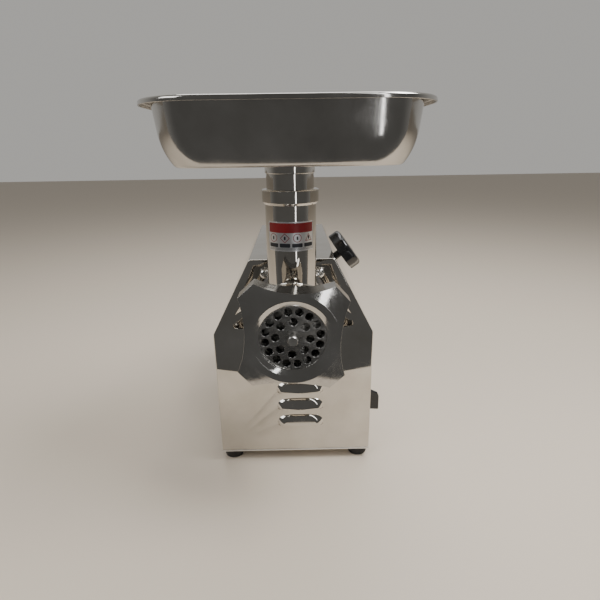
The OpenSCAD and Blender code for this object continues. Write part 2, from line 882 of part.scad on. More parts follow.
// Layshaft with the second pinion cut on it
module layshaft() {
    color(bright) union() {
        rod_y(lay_r, 22.5, 79, lay_z);
        gear_y(pinion_teeth, output_module, 34, 56, lay_z, lay_pinion_phase);
    }
}

// Gear pressed on the layshaft, with six lightening holes
module layshaft_gear() {
    color("gray") difference() {
        gear_y(lay_teeth, motor_module, 57, 68, lay_z, lay_gear_phase);
        rod_y(lay_r, 56, 69, lay_z);
        for (a = [0:60:300]) translate([0, 0, lay_z]) rotate([0, a + 30, 0])
            translate([21, 70, 0]) rotate([90, 0, 0]) cylinder(r = 5, h = 20);
    }
}

// ---------------------------------------------------------------- head

// Cast barrel: thread seat for the ring nut at the front, neck for the socket at the back
module head_barrel() {
    color(steel) difference() {
        union() {
            rod_y(thread_r, barrel_front_y, -149);
            cone_y(thread_r, barrel_r, -149, -143);
            rod_y(barrel_r, -143.01, -70);
            cone_y(barrel_r, 31, -70.01, -66);
            rod_y(36, -68, front_y - 3);
            rod_y(neck_r, front_y - 4, neck_end_y);
        }
        rod_y(plate_r + 0.15, barrel_front_y - 1, knife_y);
        rod_y(33, knife_y - 1, -100);
        cone_y(33, 29, -100.01, shoulder_y);
        rod_y(22, shoulder_y - 1, -34);
        rod_y(bushing_r, -35, neck_end_y + 1);
        rod_z(tube_bore_r - 1.5, axis_z, axis_z + 45);
        tightened() rod_y(key_r, barrel_front_y - 1, key_end_y, key_z);
    }
}

// A rod along Z on the axis of the feed tube
module rod_z(r, z0, z1) {
    translate([0, tube_y, z0]) cylinder(r = r, h = z1 - z0);
}

// Feed tube, saddled on the barrel, with an inner step that the tray's spigot stands on
module feed_tube() {
    color(steel) difference() {
        rod_z(tube_r, axis_z + 20, tube_top_z);
        rod_y(barrel_r, -140, -69);
        rod_z(tube_bore_r, spigot_stop_z, tube_top_z + 1);
        rod_z(tube_bore_r - 1.5, axis_z, tube_top_z);
    }
}

// Collar pressed on the top of the feed tube, with a chamfered lower edge
module tube_collar() {
    color(steel) difference() {
        union() {
            rod_z(collar_r, collar_z + 1, tube_top_z - 1.2);
            rod_z(collar_r - 1.2, tube_top_z - 1.3, tube_top_z);
            translate([0, tube_y, collar_z - 1.5]) cylinder(r1 = tube_r + 0.4, r2 = collar_r, h = 2.6);
        }
        rod_z(tube_r, collar_z - 5, tube_top_z + 1);
    }
}

// Bronze bushing in the neck, which carries the journal of the auger
module neck_bushing() {
    color(bronze) difference() {
        rod_y(bushing_r, -34, neck_end_y);
        rod_y(journal_r + 0.06, -36, neck_end_y + 1);
    }
}

// Pin in the barrel that stops the plate from turning
module plate_key_pin() {
    color(bright) tightened() rod_y(key_r, barrel_front_y - 0.5, key_end_y - 0.1, key_z);
}

// Thin label wrapped round the front of the feed tube
module tube_label() {
    color("lightgray") translate([0, tube_y, label_z]) rotate(-90 - label_angle / 2)
        rotate_extrude(angle = label_angle) translate([tube_r + 0.02, 0])
            square([0.25, label_h]);
}

// ---------------------------------------------------------------- tray

// Section of a strip of sheet bent round the point c, from the angle a0 to the angle a1
module sheet_arc(c, r, a0, a1) {
    translate(c) intersection() {
        difference() {
            circle(r = r);
            circle(r = r - tray_wall);
        }
        polygon([[0, 0], 2 * r * [cos(a0), sin(a0)], 2 * r * [cos(a1), sin(a1)]]);
    }
}

// Cross section of the tray from its floor over the wall to the turned-down rim
module tray_section() {
    lap = 0.3;
    out = [cos(tray_lean), -sin(tray_lean)];
    down = [-sin(tray_lean), -cos(tray_lean)];
    top = [wall_u, tray_top_z];
    foot = sweep_at + sweep_r * out + lap * down;
    sheet_arc([round_u, tray_floor_z + tray_round], tray_round, -93, -round_angle);
    sheet_arc(sweep_at, sweep_r, -round_angle - lap, -tray_lean);
    polygon([foot, top, top - [tray_wall / cos(tray_lean), 0], foot - tray_wall * out]);
    translate([wall_u - tray_wall, tray_top_z - tray_wall])
        square([rim_flange + tray_wall - rim_round, tray_wall]);
    translate([rim_u - tray_wall, tray_top_z - rim_drop])
        square([tray_wall, rim_drop - rim_round]);
    translate([rim_u - rim_round, tray_top_z - rim_round]) intersection() {
        difference() {
            circle(r = rim_round);
            circle(r = rim_round - tray_wall);
        }
        square(rim_round);
    }
}

// Pressed tray: the same section along the four walls and round the four corners
module tray_pan() {
    color(steel) translate([0, tube_y, 0]) difference() {
        union() {
            for (x = [0, 1], y = [0, 1]) mirror([x, 0, 0]) mirror([0, y, 0])
                translate([corner_x, corner_y, 0]) rotate_extrude(angle = 90) tray_section();
            for (x = [0, 1]) mirror([x, 0, 0]) translate([corner_x, corner_y, 0])
                rotate([90, 0, 0]) linear_extrude(height = 2 * corner_y) tray_section();
            for (y = [0, 1]) mirror([0, y, 0]) translate([-corner_x, corner_y, 0])
                rotate([90, 0, 90]) linear_extrude(height = 2 * corner_x) tray_section();
            translate([0, 0, tray_floor_z]) linear_extrude(height = tray_wall)
                rounded_rect(2 * (corner_x + round_u), 2 * (corner_y + round_u), round_u);
        }
        translate([0, 0, tray_floor_z - 5]) cylinder(r = tray_bore_r, h = 15);
    }
}

// Spout welded under the tray, which drops into the feed tube
module tray_spigot() {
    color(steel) difference() {
        union() {
            rod_z(spigot_r, spigot_stop_z + 0.2, tray_floor_z);
            rod_z(spigot_r + 1.2, tray_floor_z - 8, tray_floor_z);
        }
        rod_z(tray_bore_r, spigot_stop_z - 1, tray_floor_z + 1);
    }
}

// ---------------------------------------------------------------- cutting set

// Plate with an outer ring of holes, an inner ring and a notch for the key pin
module cutting_plate() {
    color(steel) tightened() difference() {
        rod_y(plate_r, plate_face_y, knife_y);
        for (i = [0:15]) let (a = 11.25 + i * 22.5)
            rod_y(plate_hole_r, plate_face_y - 1, knife_y + 1, axis_z + 26.5 * sin(a), 26.5 * cos(a));
        for (i = [0:7]) let (a = i * 45)
            rod_y(plate_hole_r, plate_face_y - 1, knife_y + 1, axis_z + 16.5 * sin(a), 16.5 * cos(a));
        rod_y(stud_r + 0.06, plate_face_y - 1, knife_y + 1);
        rod_y(key_r + 0.3, plate_face_y - 1, knife_y + 1, key_z);
    }
}

// Ring nut: flat front face, four sloping lobes and hollow flanks between them
module ring_nut() {
    color(steel) tightened() difference() {
        union() {
            cone_y(nut_face_r, lobe_r, nut_face_y, lobe_y);
            rod_y(lobe_r, lobe_y - 0.01, nut_end_y - 2);
            cone_y(lobe_r, lobe_r - 2, nut_end_y - 2.01, nut_end_y);
        }
        for (a = [0:90:270]) translate([0, 0, axis_z]) rotate([0, a, 0])
            translate([cut_at, -100, 0]) rotate([90, 0, 0]) cylinder(r = cut_r, h = 100, $fn = 180);
        cone_y(38, 33, nut_face_y - 0.01, nut_face_y + 3);
        rod_y(nut_opening_r, nut_face_y - 1, plate_face_y + 1);
        rod_y(thread_r + 0.1, plate_face_y, nut_end_y + 1);
    }
}

// One stretch of the auger's screw thread, wound round Y between two stations
module flight(y0, y1, r, turn0) {
    turn = -360 * (y1 - y0) / flight_pitch;
    translate([0, y1, axis_z]) rotate([90, 0, 0])
        linear_extrude(height = y1 - y0, twist = turn, slices = 44, $fn = 12) rotate(turn0)
            for (s = [0, 180]) rotate(s)
                polygon([
                    [8, -3.2], [r * 0.6, -2.4], [r, -1.6], [r + 0.1, 0],
                    [r, 1.6], [r * 0.6, 2.4], [8, 3.2]
                ]);
}

// Auger: plate stud and knife square in front, screw, journal and hexagonal tang behind
module auger() {
    color(steel) union() {
        cone_y(stud_r - 0.8, stud_r, plate_face_y - 8, plate_face_y - 7);
        rod_y(stud_r, plate_face_y - 7.01, knife_y + 0.2);
        translate([-square_w / 2, knife_y + 0.1, axis_z - square_w / 2])
            cube([square_w, 11.5, square_w]);
        cone_y(journal_r - 2, journal_r, flight_front_y - 1.5, flight_back_y);
        rod_y(journal_r, flight_back_y - 0.01, neck_end_y);
        translate([0, tang_end_y, axis_z]) rotate([90, 0, 0])
            cylinder(r = hex_r, h = tang_end_y, $fn = 6);
        flight(flight_front_y, flight_back_y, flight_r, 0);
    }
}

// Four-blade knife on the auger's square
module knife() {
    color(bright) translate([0, knife_y + 9.1, axis_z]) rotate([90, 0, 0]) difference() {
        union() {
            linear_extrude(height = 9) circle(r = 13);
            for (a = [22.5:90:292.5]) rotate(a) linear_extrude(height = 8.9)
                polygon([[8, -5.5], [31, -2], [31.5, 2.5], [8, 6.5]]);
        }
        translate([0, 0, -1]) linear_extrude(height = 11) square(square_w + 0.1, center = true);
    }
}

// Plastic washer between the auger and the shoulder of the barrel
module thrust_washer() {
    color("ivory") difference() {
        rod_y(27, flight_back_y, shoulder_y - 0.1);
        rod_y(journal_r, flight_back_y - 1, shoulder_y);
    }
}

// ---------------------------------------------------------------- clamp screw

// Pad that presses on the neck
module clamp_pad() {
    color(bronze) clamp_axis() translate([0, 0, pad_start]) cylinder(r = pad_r, h = pad_t);
}

// Shank of the clamp screw, from its pad into the knob
module clamp_shank() {
    translate([0, 0, pad_start + pad_t]) cylinder(r = clamp_stud_r, h = clamp_stud_length);
}

module clamp_stud() {
    color(black) clamp_axis() clamp_shank();
}

// Black knob with a flat back, a rounded front edge and shallow grip flutes
module clamp_knob() {
    color(black) clamp_axis() difference() {
        translate([0, 0, knob_back]) rotate_extrude() {
            square([knob_r, knob_t - knob_edge]);
            square([knob_r - knob_edge, knob_t]);
            intersection() {
                translate([knob_r - knob_edge, knob_t - knob_edge]) circle(r = knob_edge);
                translate([0, 0]) square([knob_r, knob_t]);
            }
        }
        for (i = [0:flutes - 1]) rotate((i + 0.5) * 360 / flutes)
            translate([knob_r + flute_r - flute_depth, 0, knob_back - 1])
                cylinder(r = flute_r, h = knob_t + 2);
        clamp_shank();
    }
}

base_plate();
wrap_shell();
front_panel();
rear_panel();
rubber_feet();
foot_screws();
rear_screws();
gear_case();
gear_cover();
cover_bolts();
head_socket();
socket_bolts();
case_screws();
output_bearings();
oil_seal();
layshaft_bearings();
motor_stator();
stator_winding();
motor_front_bell();
motor_rear_bell();
motor_bearings();
motor_bolts();
support_bracket();
bracket_screws();
run_capacitor();
capacitor_clip();
switch_body();
cord_gland();
head_barrel();
feed_tube();
tube_collar();
neck_bushing();
plate_key_pin();
tube_label();
tray_pan();
tray_spigot();
cutting_plate();
ring_nut();
auger();
knife();
thrust_washer();
output_shaft();
output_gear();
gear_key();
layshaft();
layshaft_gear();
rotor_core();
motor_shaft();
cooling_fan();
clamp_pad();
clamp_stud();
clamp_knob();
switch_knob();
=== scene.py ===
"""Looks of the electric meat grinder: polished sheet housing, steel head, tray and ring nut.

Lengths are millimetres in the frame of the model, and become metres when a mesh is made. Only
the floor and the lights are placed in metres. Z is up, the front faces -Y, and the drive axis
runs along Y.
"""

import json
import math

import bmesh
import bpy
from mathutils import Matrix, Vector

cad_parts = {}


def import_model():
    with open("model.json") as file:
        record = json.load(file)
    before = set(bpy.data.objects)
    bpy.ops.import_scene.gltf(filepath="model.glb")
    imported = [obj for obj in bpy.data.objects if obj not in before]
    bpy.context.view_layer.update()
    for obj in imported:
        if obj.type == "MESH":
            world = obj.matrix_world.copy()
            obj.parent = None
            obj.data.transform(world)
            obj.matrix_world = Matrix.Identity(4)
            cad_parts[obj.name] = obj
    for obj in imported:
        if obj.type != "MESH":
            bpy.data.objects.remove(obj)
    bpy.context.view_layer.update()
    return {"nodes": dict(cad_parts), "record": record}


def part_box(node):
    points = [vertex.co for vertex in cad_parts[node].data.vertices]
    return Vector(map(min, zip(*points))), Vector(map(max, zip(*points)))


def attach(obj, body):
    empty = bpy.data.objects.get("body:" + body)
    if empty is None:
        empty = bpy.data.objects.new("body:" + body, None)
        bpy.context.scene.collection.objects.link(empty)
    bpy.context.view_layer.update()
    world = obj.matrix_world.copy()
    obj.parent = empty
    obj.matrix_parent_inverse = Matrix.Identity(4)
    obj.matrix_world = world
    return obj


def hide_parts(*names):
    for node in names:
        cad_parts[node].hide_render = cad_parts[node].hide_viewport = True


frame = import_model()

MM = 0.001
TURN = 2 * math.pi
scene = bpy.context.scene


# ------------------------------------------------------------------ places, from the frame


def span(node):
    """Lowest and highest corner of a CAD node."""
    lo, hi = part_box(node)
    return Vector(lo) / MM, Vector(hi) / MM


def middle(node):
    """Centre of a CAD node."""
    lo, hi = span(node)
    return (lo + hi) / 2


SHEET = 1.2
FRONT_Y = span("base_plate")[0].y
BACK_Y = span("base_plate")[1].y
HALF_WIDTH = span("base_plate")[1].x
SKIN_Z = span("wrap_shell")[0].z
TOP_Z = span("wrap_shell")[1].z
HALF_TOP = 49.7
BREAK_Z = 182.4
BEND_R = 3.0

AXIS_Z = middle("neck_bushing").z
BARREL_FRONT_Y = span("head_barrel")[0].y
NECK_END_Y = span("head_barrel")[1].y
PLATE_FACE_Y = span("cutting_plate")[0].y
PLATE_BACK_Y = span("cutting_plate")[1].y
PLATE_R = 35.0
NUT_FACE_Y = span("ring_nut")[0].y
NUT_END_Y = span("ring_nut")[1].y
NUT_TURN = math.radians(3)

TUBE_Y = middle("feed_tube").y
TUBE_R = span("feed_tube")[1].x
TUBE_TOP_Z = span("feed_tube")[1].z
COLLAR_LOW_Z = span("tube_collar")[0].z
COLLAR_R = span("tube_collar")[1].x
SPIGOT_LOW_Z = span("tray_spigot")[0].z

TRAY_FLOOR_Z = span("tray_pan")[0].z
TRAY_TOP_Z = span("tray_pan")[1].z
TRAY_HALF_WIDTH = span("tray_pan")[1].x
TRAY_HALF_DEPTH = (span("tray_pan")[1].y - span("tray_pan")[0].y) / 2

CLAMP_ANGLE = math.radians(36)
CLAMP_START = Vector((0, FRONT_Y + 50, AXIS_Z))
CLAMP_DIRECTION = Vector((math.cos(CLAMP_ANGLE), 0, math.sin(CLAMP_ANGLE)))


# ------------------------------------------------------------------ paths and meshes


def rounded(corners, steps=5, closed=True):
    """The path through corners (a, b) or (a, b, r), with an arc of radius r at a corner."""
    path = []
    count = len(corners)
    for i, corner in enumerate(corners):
        point = Vector(corner[:2])
        radius = corner[2] if len(corner) > 2 else 0
        if radius <= 0 or (not closed and i in (0, count - 1)):
            path.append(point)
            continue
        before = (Vector(corners[i - 1][:2]) - point).normalized()
        after = (Vector(corners[(i + 1) % count][:2]) - point).normalized()
        half = before.angle(after) / 2
        centre = point + (before + after).normalized() * (radius / math.sin(half))
        first = point + before * (radius / math.tan(half)) - centre
        last = point + after * (radius / math.tan(half)) - centre
        start = math.atan2(first.y, first.x)
        sweep = (math.atan2(last.y, last.x) - start + math.pi) % TURN - math.pi
        for k in range(steps + 1):
            a = start + sweep * k / steps
            path.append(centre + radius * Vector((math.cos(a), math.sin(a))))
    return path


def skin(rows, close_rows=False, close_columns=True):
    """Points and faces of the surface through rows of points."""
    width = len(rows[0])
    points = [p for row in rows for p in row]
    faces = []
    for i in range(len(rows) if close_rows else len(rows) - 1):
        a = i * width
        b = (i + 1) % len(rows) * width
        for j in range(width if close_columns else width - 1):
            k = (j + 1) % width
            faces.append((a + j, a + k, b + k, b + j))
    return points, faces


def make_mesh(name, *parts):
    """One mesh of parts (points, faces), with doubled points merged and normals outwards."""
    points, faces = [], []
    for part_points, part_faces in parts:
        faces += [tuple(len(points) + i for i in face) for face in part_faces]
        points += [Vector(p) * MM for p in part_points]
    mesh = bpy.data.meshes.new(name)
    mesh.from_pydata(points, [], faces)
    work = bmesh.new()
    work.from_mesh(mesh)
    bmesh.ops.remove_doubles(work, verts=work.verts, dist=2e-6)
    bmesh.ops.dissolve_degenerate(work, edges=work.edges, dist=1e-6)
    bmesh.ops.recalc_face_normals(work, faces=work.faces)
    work.to_mesh(mesh)
    work.free()
    return mesh


def turned(profile, base=(0, 0, 0), axis=(0, 0, 1), steps=96, shape=None, closed=False):
    """Points and faces of a profile (radius, distance) turned about an axis through base.
    Where shape is given, shape(radius, angle) is the radius at an angle."""
    z = Vector(axis).normalized()
    x = Vector((1, 0, 0)) if abs(z.x) < 0.5 else Vector((0, 1, 0))
    y = z.cross(x).normalized()
    x = y.cross(z)
    rows = []
    for radius, distance in profile:
        row = []
        for j in range(steps):
            a = TURN * j / steps
            r = shape(radius, a) if shape else radius
            row.append(Vector(base) + z * distance + (x * math.cos(a) + y * math.sin(a)) * r)
        rows.append(row)
    return skin(rows, close_rows=closed)


def ring_path(radius, steps=96, x=0.0, y=0.0):
    """A circle as a path."""
    return [
        Vector((x + radius * math.cos(TURN * j / steps), y + radius * math.sin(TURN * j / steps)))
        for j in range(steps)
    ]


def filled(loops, lift):
    """Points and faces of the flat face inside the first loop and outside the others.
    lift turns a point of the plane into a point of the model."""
    curve = bpy.data.curves.new("outline", "CURVE")
    curve.dimensions = "2D"
    curve.fill_mode = "BOTH"
    for loop in loops:
        spline = curve.splines.new("POLY")
        spline.points.add(len(loop) - 1)
        for point, place in zip(spline.points, loop):
            point.co = (place[0], place[1], 0, 1)
        spline.use_cyclic_u = True
    holder = bpy.data.objects.new("outline", curve)
    mesh = bpy.data.meshes.new_from_object(holder)
    points = [lift(v.co.x, v.co.y) for v in mesh.vertices]
    faces = [tuple(p.vertices) for p in mesh.polygons]
    bpy.data.objects.remove(holder)
    bpy.data.curves.remove(curve)
    bpy.data.meshes.remove(mesh)
    return points, faces


def rounded_slab(loops_at, low, high, edge, lift, steps=3):
    """Points and faces of a slab with rounded edges. loops_at(d) gives its loops moved into the
    material by d, and lift(a, b, height) turns them into points of the model."""
    parts = []
    heights = []
    for k in range(steps + 1):
        a = math.pi / 2 * k / steps
        heights.append((edge * (1 - math.sin(a)), low + edge * (1 - math.cos(a))))
    heights += [(inset, low + high - height) for inset, height in reversed(heights)]
    layers = [(loops_at(inset), height) for inset, height in heights]
    for i in range(len(layers[0][0])):
        rows = [[lift(p[0], p[1], height) for p in loops[i]] for loops, height in layers]
        parts.append(skin(rows))
    for loops, height in (layers[0], layers[-1]):
        parts.append(filled(loops, lambda a, b, h=height: lift(a, b, h)))
    return parts


def cut(obj, cutters, sharp):
    """Cuts the solids of these meshes out of a piece, for good, and shades it smooth again,
    except across edges of more than sharp degrees."""
    for i, mesh in enumerate(cutters):
        tool = bpy.data.objects.new(f"cutter_{i}", mesh)
        scene.collection.objects.link(tool)
        step = obj.modifiers.new("cut", "BOOLEAN")
        step.operation = "DIFFERENCE"
        step.solver = "EXACT"
        step.object = tool
        bpy.context.view_layer.update()
        graph = bpy.context.evaluated_depsgraph_get()
        result = bpy.data.meshes.new_from_object(obj.evaluated_get(graph))
        obj.modifiers.clear()
        obj.data = result
        bpy.data.objects.remove(tool)
    obj.data.polygons.foreach_set("use_smooth", [True] * len(obj.data.polygons))
    obj.data.set_sharp_from_angle(angle=math.radians(sharp))


def box_mesh(lo, hi, round_axis=None, radius=0.0):
    """A box. Where round_axis is given, its edges along that axis are round."""
    lo, hi = Vector(lo), Vector(hi)
    i = 2 if round_axis is None else round_axis
    j, k = (i + 1) % 3, (i + 2) % 3
    places = ((lo[j], lo[k]), (hi[j], lo[k]), (hi[j], hi[k]), (lo[j], hi[k]))
    outline = rounded([(a, b, radius) for a, b in places], 8)

    def at(p, height):
        place = [0, 0, 0]
        place[i], place[j], place[k] = height, p[0], p[1]
        return Vector(place)

    points = [at(p, lo[i]) for p in outline] + [at(p, hi[i]) for p in outline]
    n = len(outline)
    faces = [(a, (a + 1) % n, n + (a + 1) % n, n + a) for a in range(n)]
    faces += [tuple(range(n)), tuple(range(n, 2 * n))]
    return make_mesh("box", (points, faces))


def round_edges(obj, edge, segments=3, angle=35):
    """Rounds the sharp edges of a piece."""
    step = obj.modifiers.new("edges", "BEVEL")
    step.width = edge * MM
    step.segments = segments
    step.limit_method = "ANGLE"
    step.angle_limit = math.radians(angle)
    step.harden_normals = True
    step.miter_outer = "MITER_ARC"


def add(name, mesh, slot, body="housing", stands_for=(), **looks):
    """Shows a mesh as a piece with the finish of a slot, riding on a body."""
    edge, edge_angle = looks.get("edge", 0), looks.get("edge_angle", 35)
    sharp, weigh, finish = looks.get("sharp", 38), looks.get("weigh", False), looks.get("finish")
    obj = bpy.data.objects.new(name, mesh)
    scene.collection.objects.link(obj)
    mesh.materials.clear()
    mesh.materials.append(finish or FINISHES[slot])
    mesh.polygons.foreach_set("use_smooth", [True] * len(mesh.polygons))
    if edge:
        round_edges(obj, edge, angle=edge_angle)
    else:
        mesh.set_sharp_from_angle(angle=math.radians(sharp))
    if weigh:
        step = obj.modifiers.new("normals", "WEIGHTED_NORMAL")
        step.keep_sharp = True
    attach(obj, body)
    if stands_for:
        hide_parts(*stands_for)
    return obj


# ------------------------------------------------------------------ materials


def new_material(name, color, metallic=0.0, roughness=0.5):
    """A principled material, and its node tree and shader."""
    mat = bpy.data.materials.new(name)
    mat.use_nodes = True
    tree = mat.node_tree
    shader = tree.nodes["Principled BSDF"]
    shader.inputs["Base Color"].default_value = (*color, 1)
    shader.inputs["Metallic"].default_value = metallic
    shader.inputs["Roughness"].default_value = roughness
    return mat, tree, shader


def noise(tree, scale, stretch=(1, 1, 1), detail=4.0, rough=0.55):
    """A noise pattern in the frame of the model. Larger stretch means longer along that axis."""
    place = tree.nodes.new("ShaderNodeTexCoord")
    mapping = tree.nodes.new("ShaderNodeMapping")
    mapping.inputs["Scale"].default_value = [1 / s for s in stretch]
    pattern = tree.nodes.new("ShaderNodeTexNoise")
    pattern.inputs["Scale"].default_value = scale
    pattern.inputs["Detail"].default_value = detail
    pattern.inputs["Roughness"].default_value = rough
    tree.links.new(place.outputs["Object"], mapping.inputs["Vector"])
    tree.links.new(mapping.outputs["Vector"], pattern.inputs["Vector"])
    return pattern.outputs["Fac"]


def ramp(tree, value, low, high, start=0.35, end=0.65):
    """A value that runs from low to high while the input runs from start to end."""
    node = tree.nodes.new("ShaderNodeMapRange")
    node.interpolation_type = "SMOOTHSTEP"
    node.inputs["From Min"].default_value = start
    node.inputs["From Max"].default_value = end
    node.inputs["To Min"].default_value = low
    node.inputs["To Max"].default_value = high
    tree.links.new(value, node.inputs["Value"])
    return node.outputs["Result"]


def tint(tree, value, dark, light, start=0.3, end=0.7):
    """A colour that runs from dark to light with a pattern."""
    node = tree.nodes.new("ShaderNodeValToRGB")
    node.color_ramp.elements[0].position = start
    node.color_ramp.elements[0].color = (*dark, 1)
    node.color_ramp.elements[1].position = end
    node.color_ramp.elements[1].color = (*light, 1)
    tree.links.new(value, node.inputs["Fac"])
    return node.outputs["Color"]


def relief(tree, shader, layers):
    """Bumps on a surface. Each layer is (pattern, depth in millimetres)."""
    last = None
    for pattern, depth in layers:
        node = tree.nodes.new("ShaderNodeBump")
        node.inputs["Strength"].default_value = 1.0
        node.inputs["Distance"].default_value = depth * MM
        tree.links.new(pattern, node.inputs["Height"])
        if last:
            tree.links.new(last, node.inputs["Normal"])
        last = node.outputs["Normal"]
    tree.links.new(last, shader.inputs["Normal"])


def steel(name, dark, light, rough, brush=(1, 1, 1), lines=0.0008, waves=0.05, wave_scale=14):
    """Stainless steel: brush lines along the stretched axis, smudges, and slow waves in the sheet."""
    mat, tree, shader = new_material(name, light, 1.0, rough[0])
    smudge = noise(tree, 22, detail=5)
    grain = noise(tree, 900, brush, detail=3)
    wave = noise(tree, wave_scale, detail=1.0, rough=0.4)
    tree.links.new(tint(tree, smudge, dark, light), shader.inputs["Base Color"])
    mix = tree.nodes.new("ShaderNodeMath")
    mix.operation = "ADD"
    tree.links.new(ramp(tree, smudge, rough[0], rough[1], 0.42, 0.72), mix.inputs[0])
    tree.links.new(ramp(tree, grain, 0.0, rough[1] * 0.35), mix.inputs[1])
    tree.links.new(mix.outputs["Value"], shader.inputs["Roughness"])
    relief(tree, shader, [(wave, waves), (grain, lines)])
    return mat


def cast_metal(name, dark, light, rough, grit=0.12):
    """Cast or sintered metal with a granular skin."""
    mat, tree, shader = new_material(name, light, 1.0, rough)
    mottle = noise(tree, 60, detail=6)
    grains = noise(tree, 900, detail=3)
    tree.links.new(tint(tree, mottle, dark, light), shader.inputs["Base Color"])
    tree.links.new(ramp(tree, mottle, rough * 0.8, rough * 1.25), shader.inputs["Roughness"])
    relief(tree, shader, [(grains, grit * 0.4), (mottle, grit)])
    return mat


def moulded(name, dark, light, rough, grit=0.01, coat=0.0):
    """Moulded plastic or rubber, with a faint mottle and a fine skin."""
    mat, tree, shader = new_material(name, light, 0.0, rough)
    mottle = noise(tree, 35, detail=5)
    grains = noise(tree, 1500, detail=2)
    shader.inputs["Coat Weight"].default_value = coat
    shader.inputs["Coat Roughness"].default_value = 0.12
    tree.links.new(tint(tree, mottle, dark, light), shader.inputs["Base Color"])
    tree.links.new(ramp(tree, mottle, rough * 0.8, rough * 1.2), shader.inputs["Roughness"])
    relief(tree, shader, [(grains, grit)])
    return mat


def wound(name, dark, light):
    """Enamelled copper wire, wound in fine turns."""
    mat, tree, shader = new_material(name, light, 1.0, 0.32)
    place = tree.nodes.new("ShaderNodeTexCoord")
    wave = tree.nodes.new("ShaderNodeTexWave")
    wave.bands_direction = "Z"
    wave.inputs["Scale"].default_value = 900
    wave.inputs["Distortion"].default_value = 2.0
    tree.links.new(place.outputs["Object"], wave.inputs["Vector"])
    tree.links.new(tint(tree, wave.outputs["Fac"], dark, light), shader.inputs["Base Color"])
    relief(tree, shader, [(wave.outputs["Fac"], 0.15)])
    return mat


# Each row: material slot, kind of material, and the values that kind takes after its name.
LOOKS = (
    ("mirror_steel", steel, (0.58, 0.555, 0.51), (0.68, 0.66, 0.625), (0.012, 0.045),
     (1, 1, 9), 0.0002, 0.04),
    ("tray_steel", steel, (0.48, 0.465, 0.44), (0.60, 0.585, 0.56), (0.07, 0.15),
     (1, 1, 14), 0.0012, 0.22, 9),
    ("head_steel", steel, (0.54, 0.515, 0.47), (0.68, 0.655, 0.615), (0.03, 0.08),
     (1, 1, 6), 0.0004, 0.03),
    ("ring_steel", steel, (0.48, 0.47, 0.45), (0.62, 0.61, 0.59), (0.06, 0.15), (3, 1, 3), 0.001, 0.03),
    ("plate_steel", steel, (0.30, 0.295, 0.285), (0.42, 0.41, 0.395), (0.22, 0.36),
     (3, 3, 1), 0.003, 0.0),
    ("auger_steel", cast_metal, (0.42, 0.41, 0.39), (0.58, 0.57, 0.55), 0.34, 0.05),
    ("plain_steel", steel, (0.74, 0.74, 0.73), (0.86, 0.86, 0.85), (0.34, 0.46), (8, 8, 1), 0.002, 0.03),
    ("bolt_steel", steel, (0.58, 0.57, 0.55), (0.74, 0.73, 0.71), (0.10, 0.22), (2, 2, 2), 0.002, 0.0),
    ("black_oxide", moulded, (0.010, 0.010, 0.011), (0.022, 0.021, 0.021), 0.32, 0.01),
    ("zinc_steel", steel, (0.50, 0.50, 0.47), (0.66, 0.65, 0.60), (0.24, 0.40), (1, 1, 1), 0.003, 0.0),
    ("cast_alloy", cast_metal, (0.40, 0.40, 0.41), (0.56, 0.56, 0.57), 0.46),
    ("bearing_steel", steel, (0.60, 0.60, 0.60), (0.74, 0.74, 0.74), (0.12, 0.2), (1, 9, 1), 0.001, 0.0),
    ("laminations", cast_metal, (0.10, 0.10, 0.105), (0.18, 0.18, 0.185), 0.5, 0.05),
    ("copper", wound, (0.42, 0.15, 0.06), (0.80, 0.36, 0.18)),
    ("bronze", cast_metal, (0.50, 0.33, 0.14), (0.66, 0.46, 0.22), 0.34, 0.03),
    ("shaft_steel", steel, (0.52, 0.52, 0.52), (0.68, 0.68, 0.68), (0.14, 0.26), (1, 9, 1), 0.001, 0.0),
    ("gear_steel", steel, (0.30, 0.30, 0.31), (0.46, 0.46, 0.47), (0.26, 0.42), (1, 4, 1), 0.003, 0.0),
    ("capacitor_can", steel, (0.56, 0.56, 0.57), (0.70, 0.70, 0.71), (0.28, 0.4), (1, 8, 1), 0.001, 0.0),
    ("label_foil", steel, (0.62, 0.62, 0.63), (0.78, 0.78, 0.79), (0.30, 0.42), (1, 1, 1), 0.001, 0.01),
    ("rubber", moulded, (0.010, 0.010, 0.010), (0.020, 0.019, 0.018), 0.62, 0.03),
    ("black_plastic", moulded, (0.010, 0.010, 0.011), (0.018, 0.018, 0.019), 0.42, 0.02),
    ("knob_plastic", moulded, (0.007, 0.007, 0.008), (0.013, 0.013, 0.014), 0.22, 0.006, 0.35),
    ("fan_plastic", moulded, (0.014, 0.014, 0.015), (0.03, 0.03, 0.031), 0.5, 0.02),
    ("white_plastic", moulded, (0.66, 0.66, 0.63), (0.76, 0.76, 0.73), 0.42, 0.01),
)
FINISHES = {name: kind(name, *values) for name, kind, *values in LOOKS}
PRINT_RED = moulded("print_red", (0.20, 0.006, 0.009), (0.30, 0.010, 0.013), 0.38, 0.002)
PRINT_BLACK = moulded("print_black", (0.012, 0.013, 0.018), (0.024, 0.026, 0.034), 0.42, 0.002)


# ------------------------------------------------------------------ housing


def housing_path(inset=0.0):
    """Outline of the housing in X and Z, moved inwards by the inset, from the lower left corner."""
    lean = math.atan2(HALF_WIDTH - HALF_TOP, TOP_Z - BREAK_Z)
    side = HALF_WIDTH - inset
    break_z = BREAK_Z - inset * math.tan(lean / 2)
    top = TOP_Z - inset
    top_x = HALF_TOP - inset * math.tan((math.pi / 2 - lean) / 2)
    low = SKIN_Z + inset
    corners = [(-side, low), (side, low), (side, break_z, 2 * BEND_R), (top_x, top, BEND_R)]
    corners += [(-top_x, top, BEND_R), (-side, break_z, 2 * BEND_R)]
    return rounded(corners, 6)


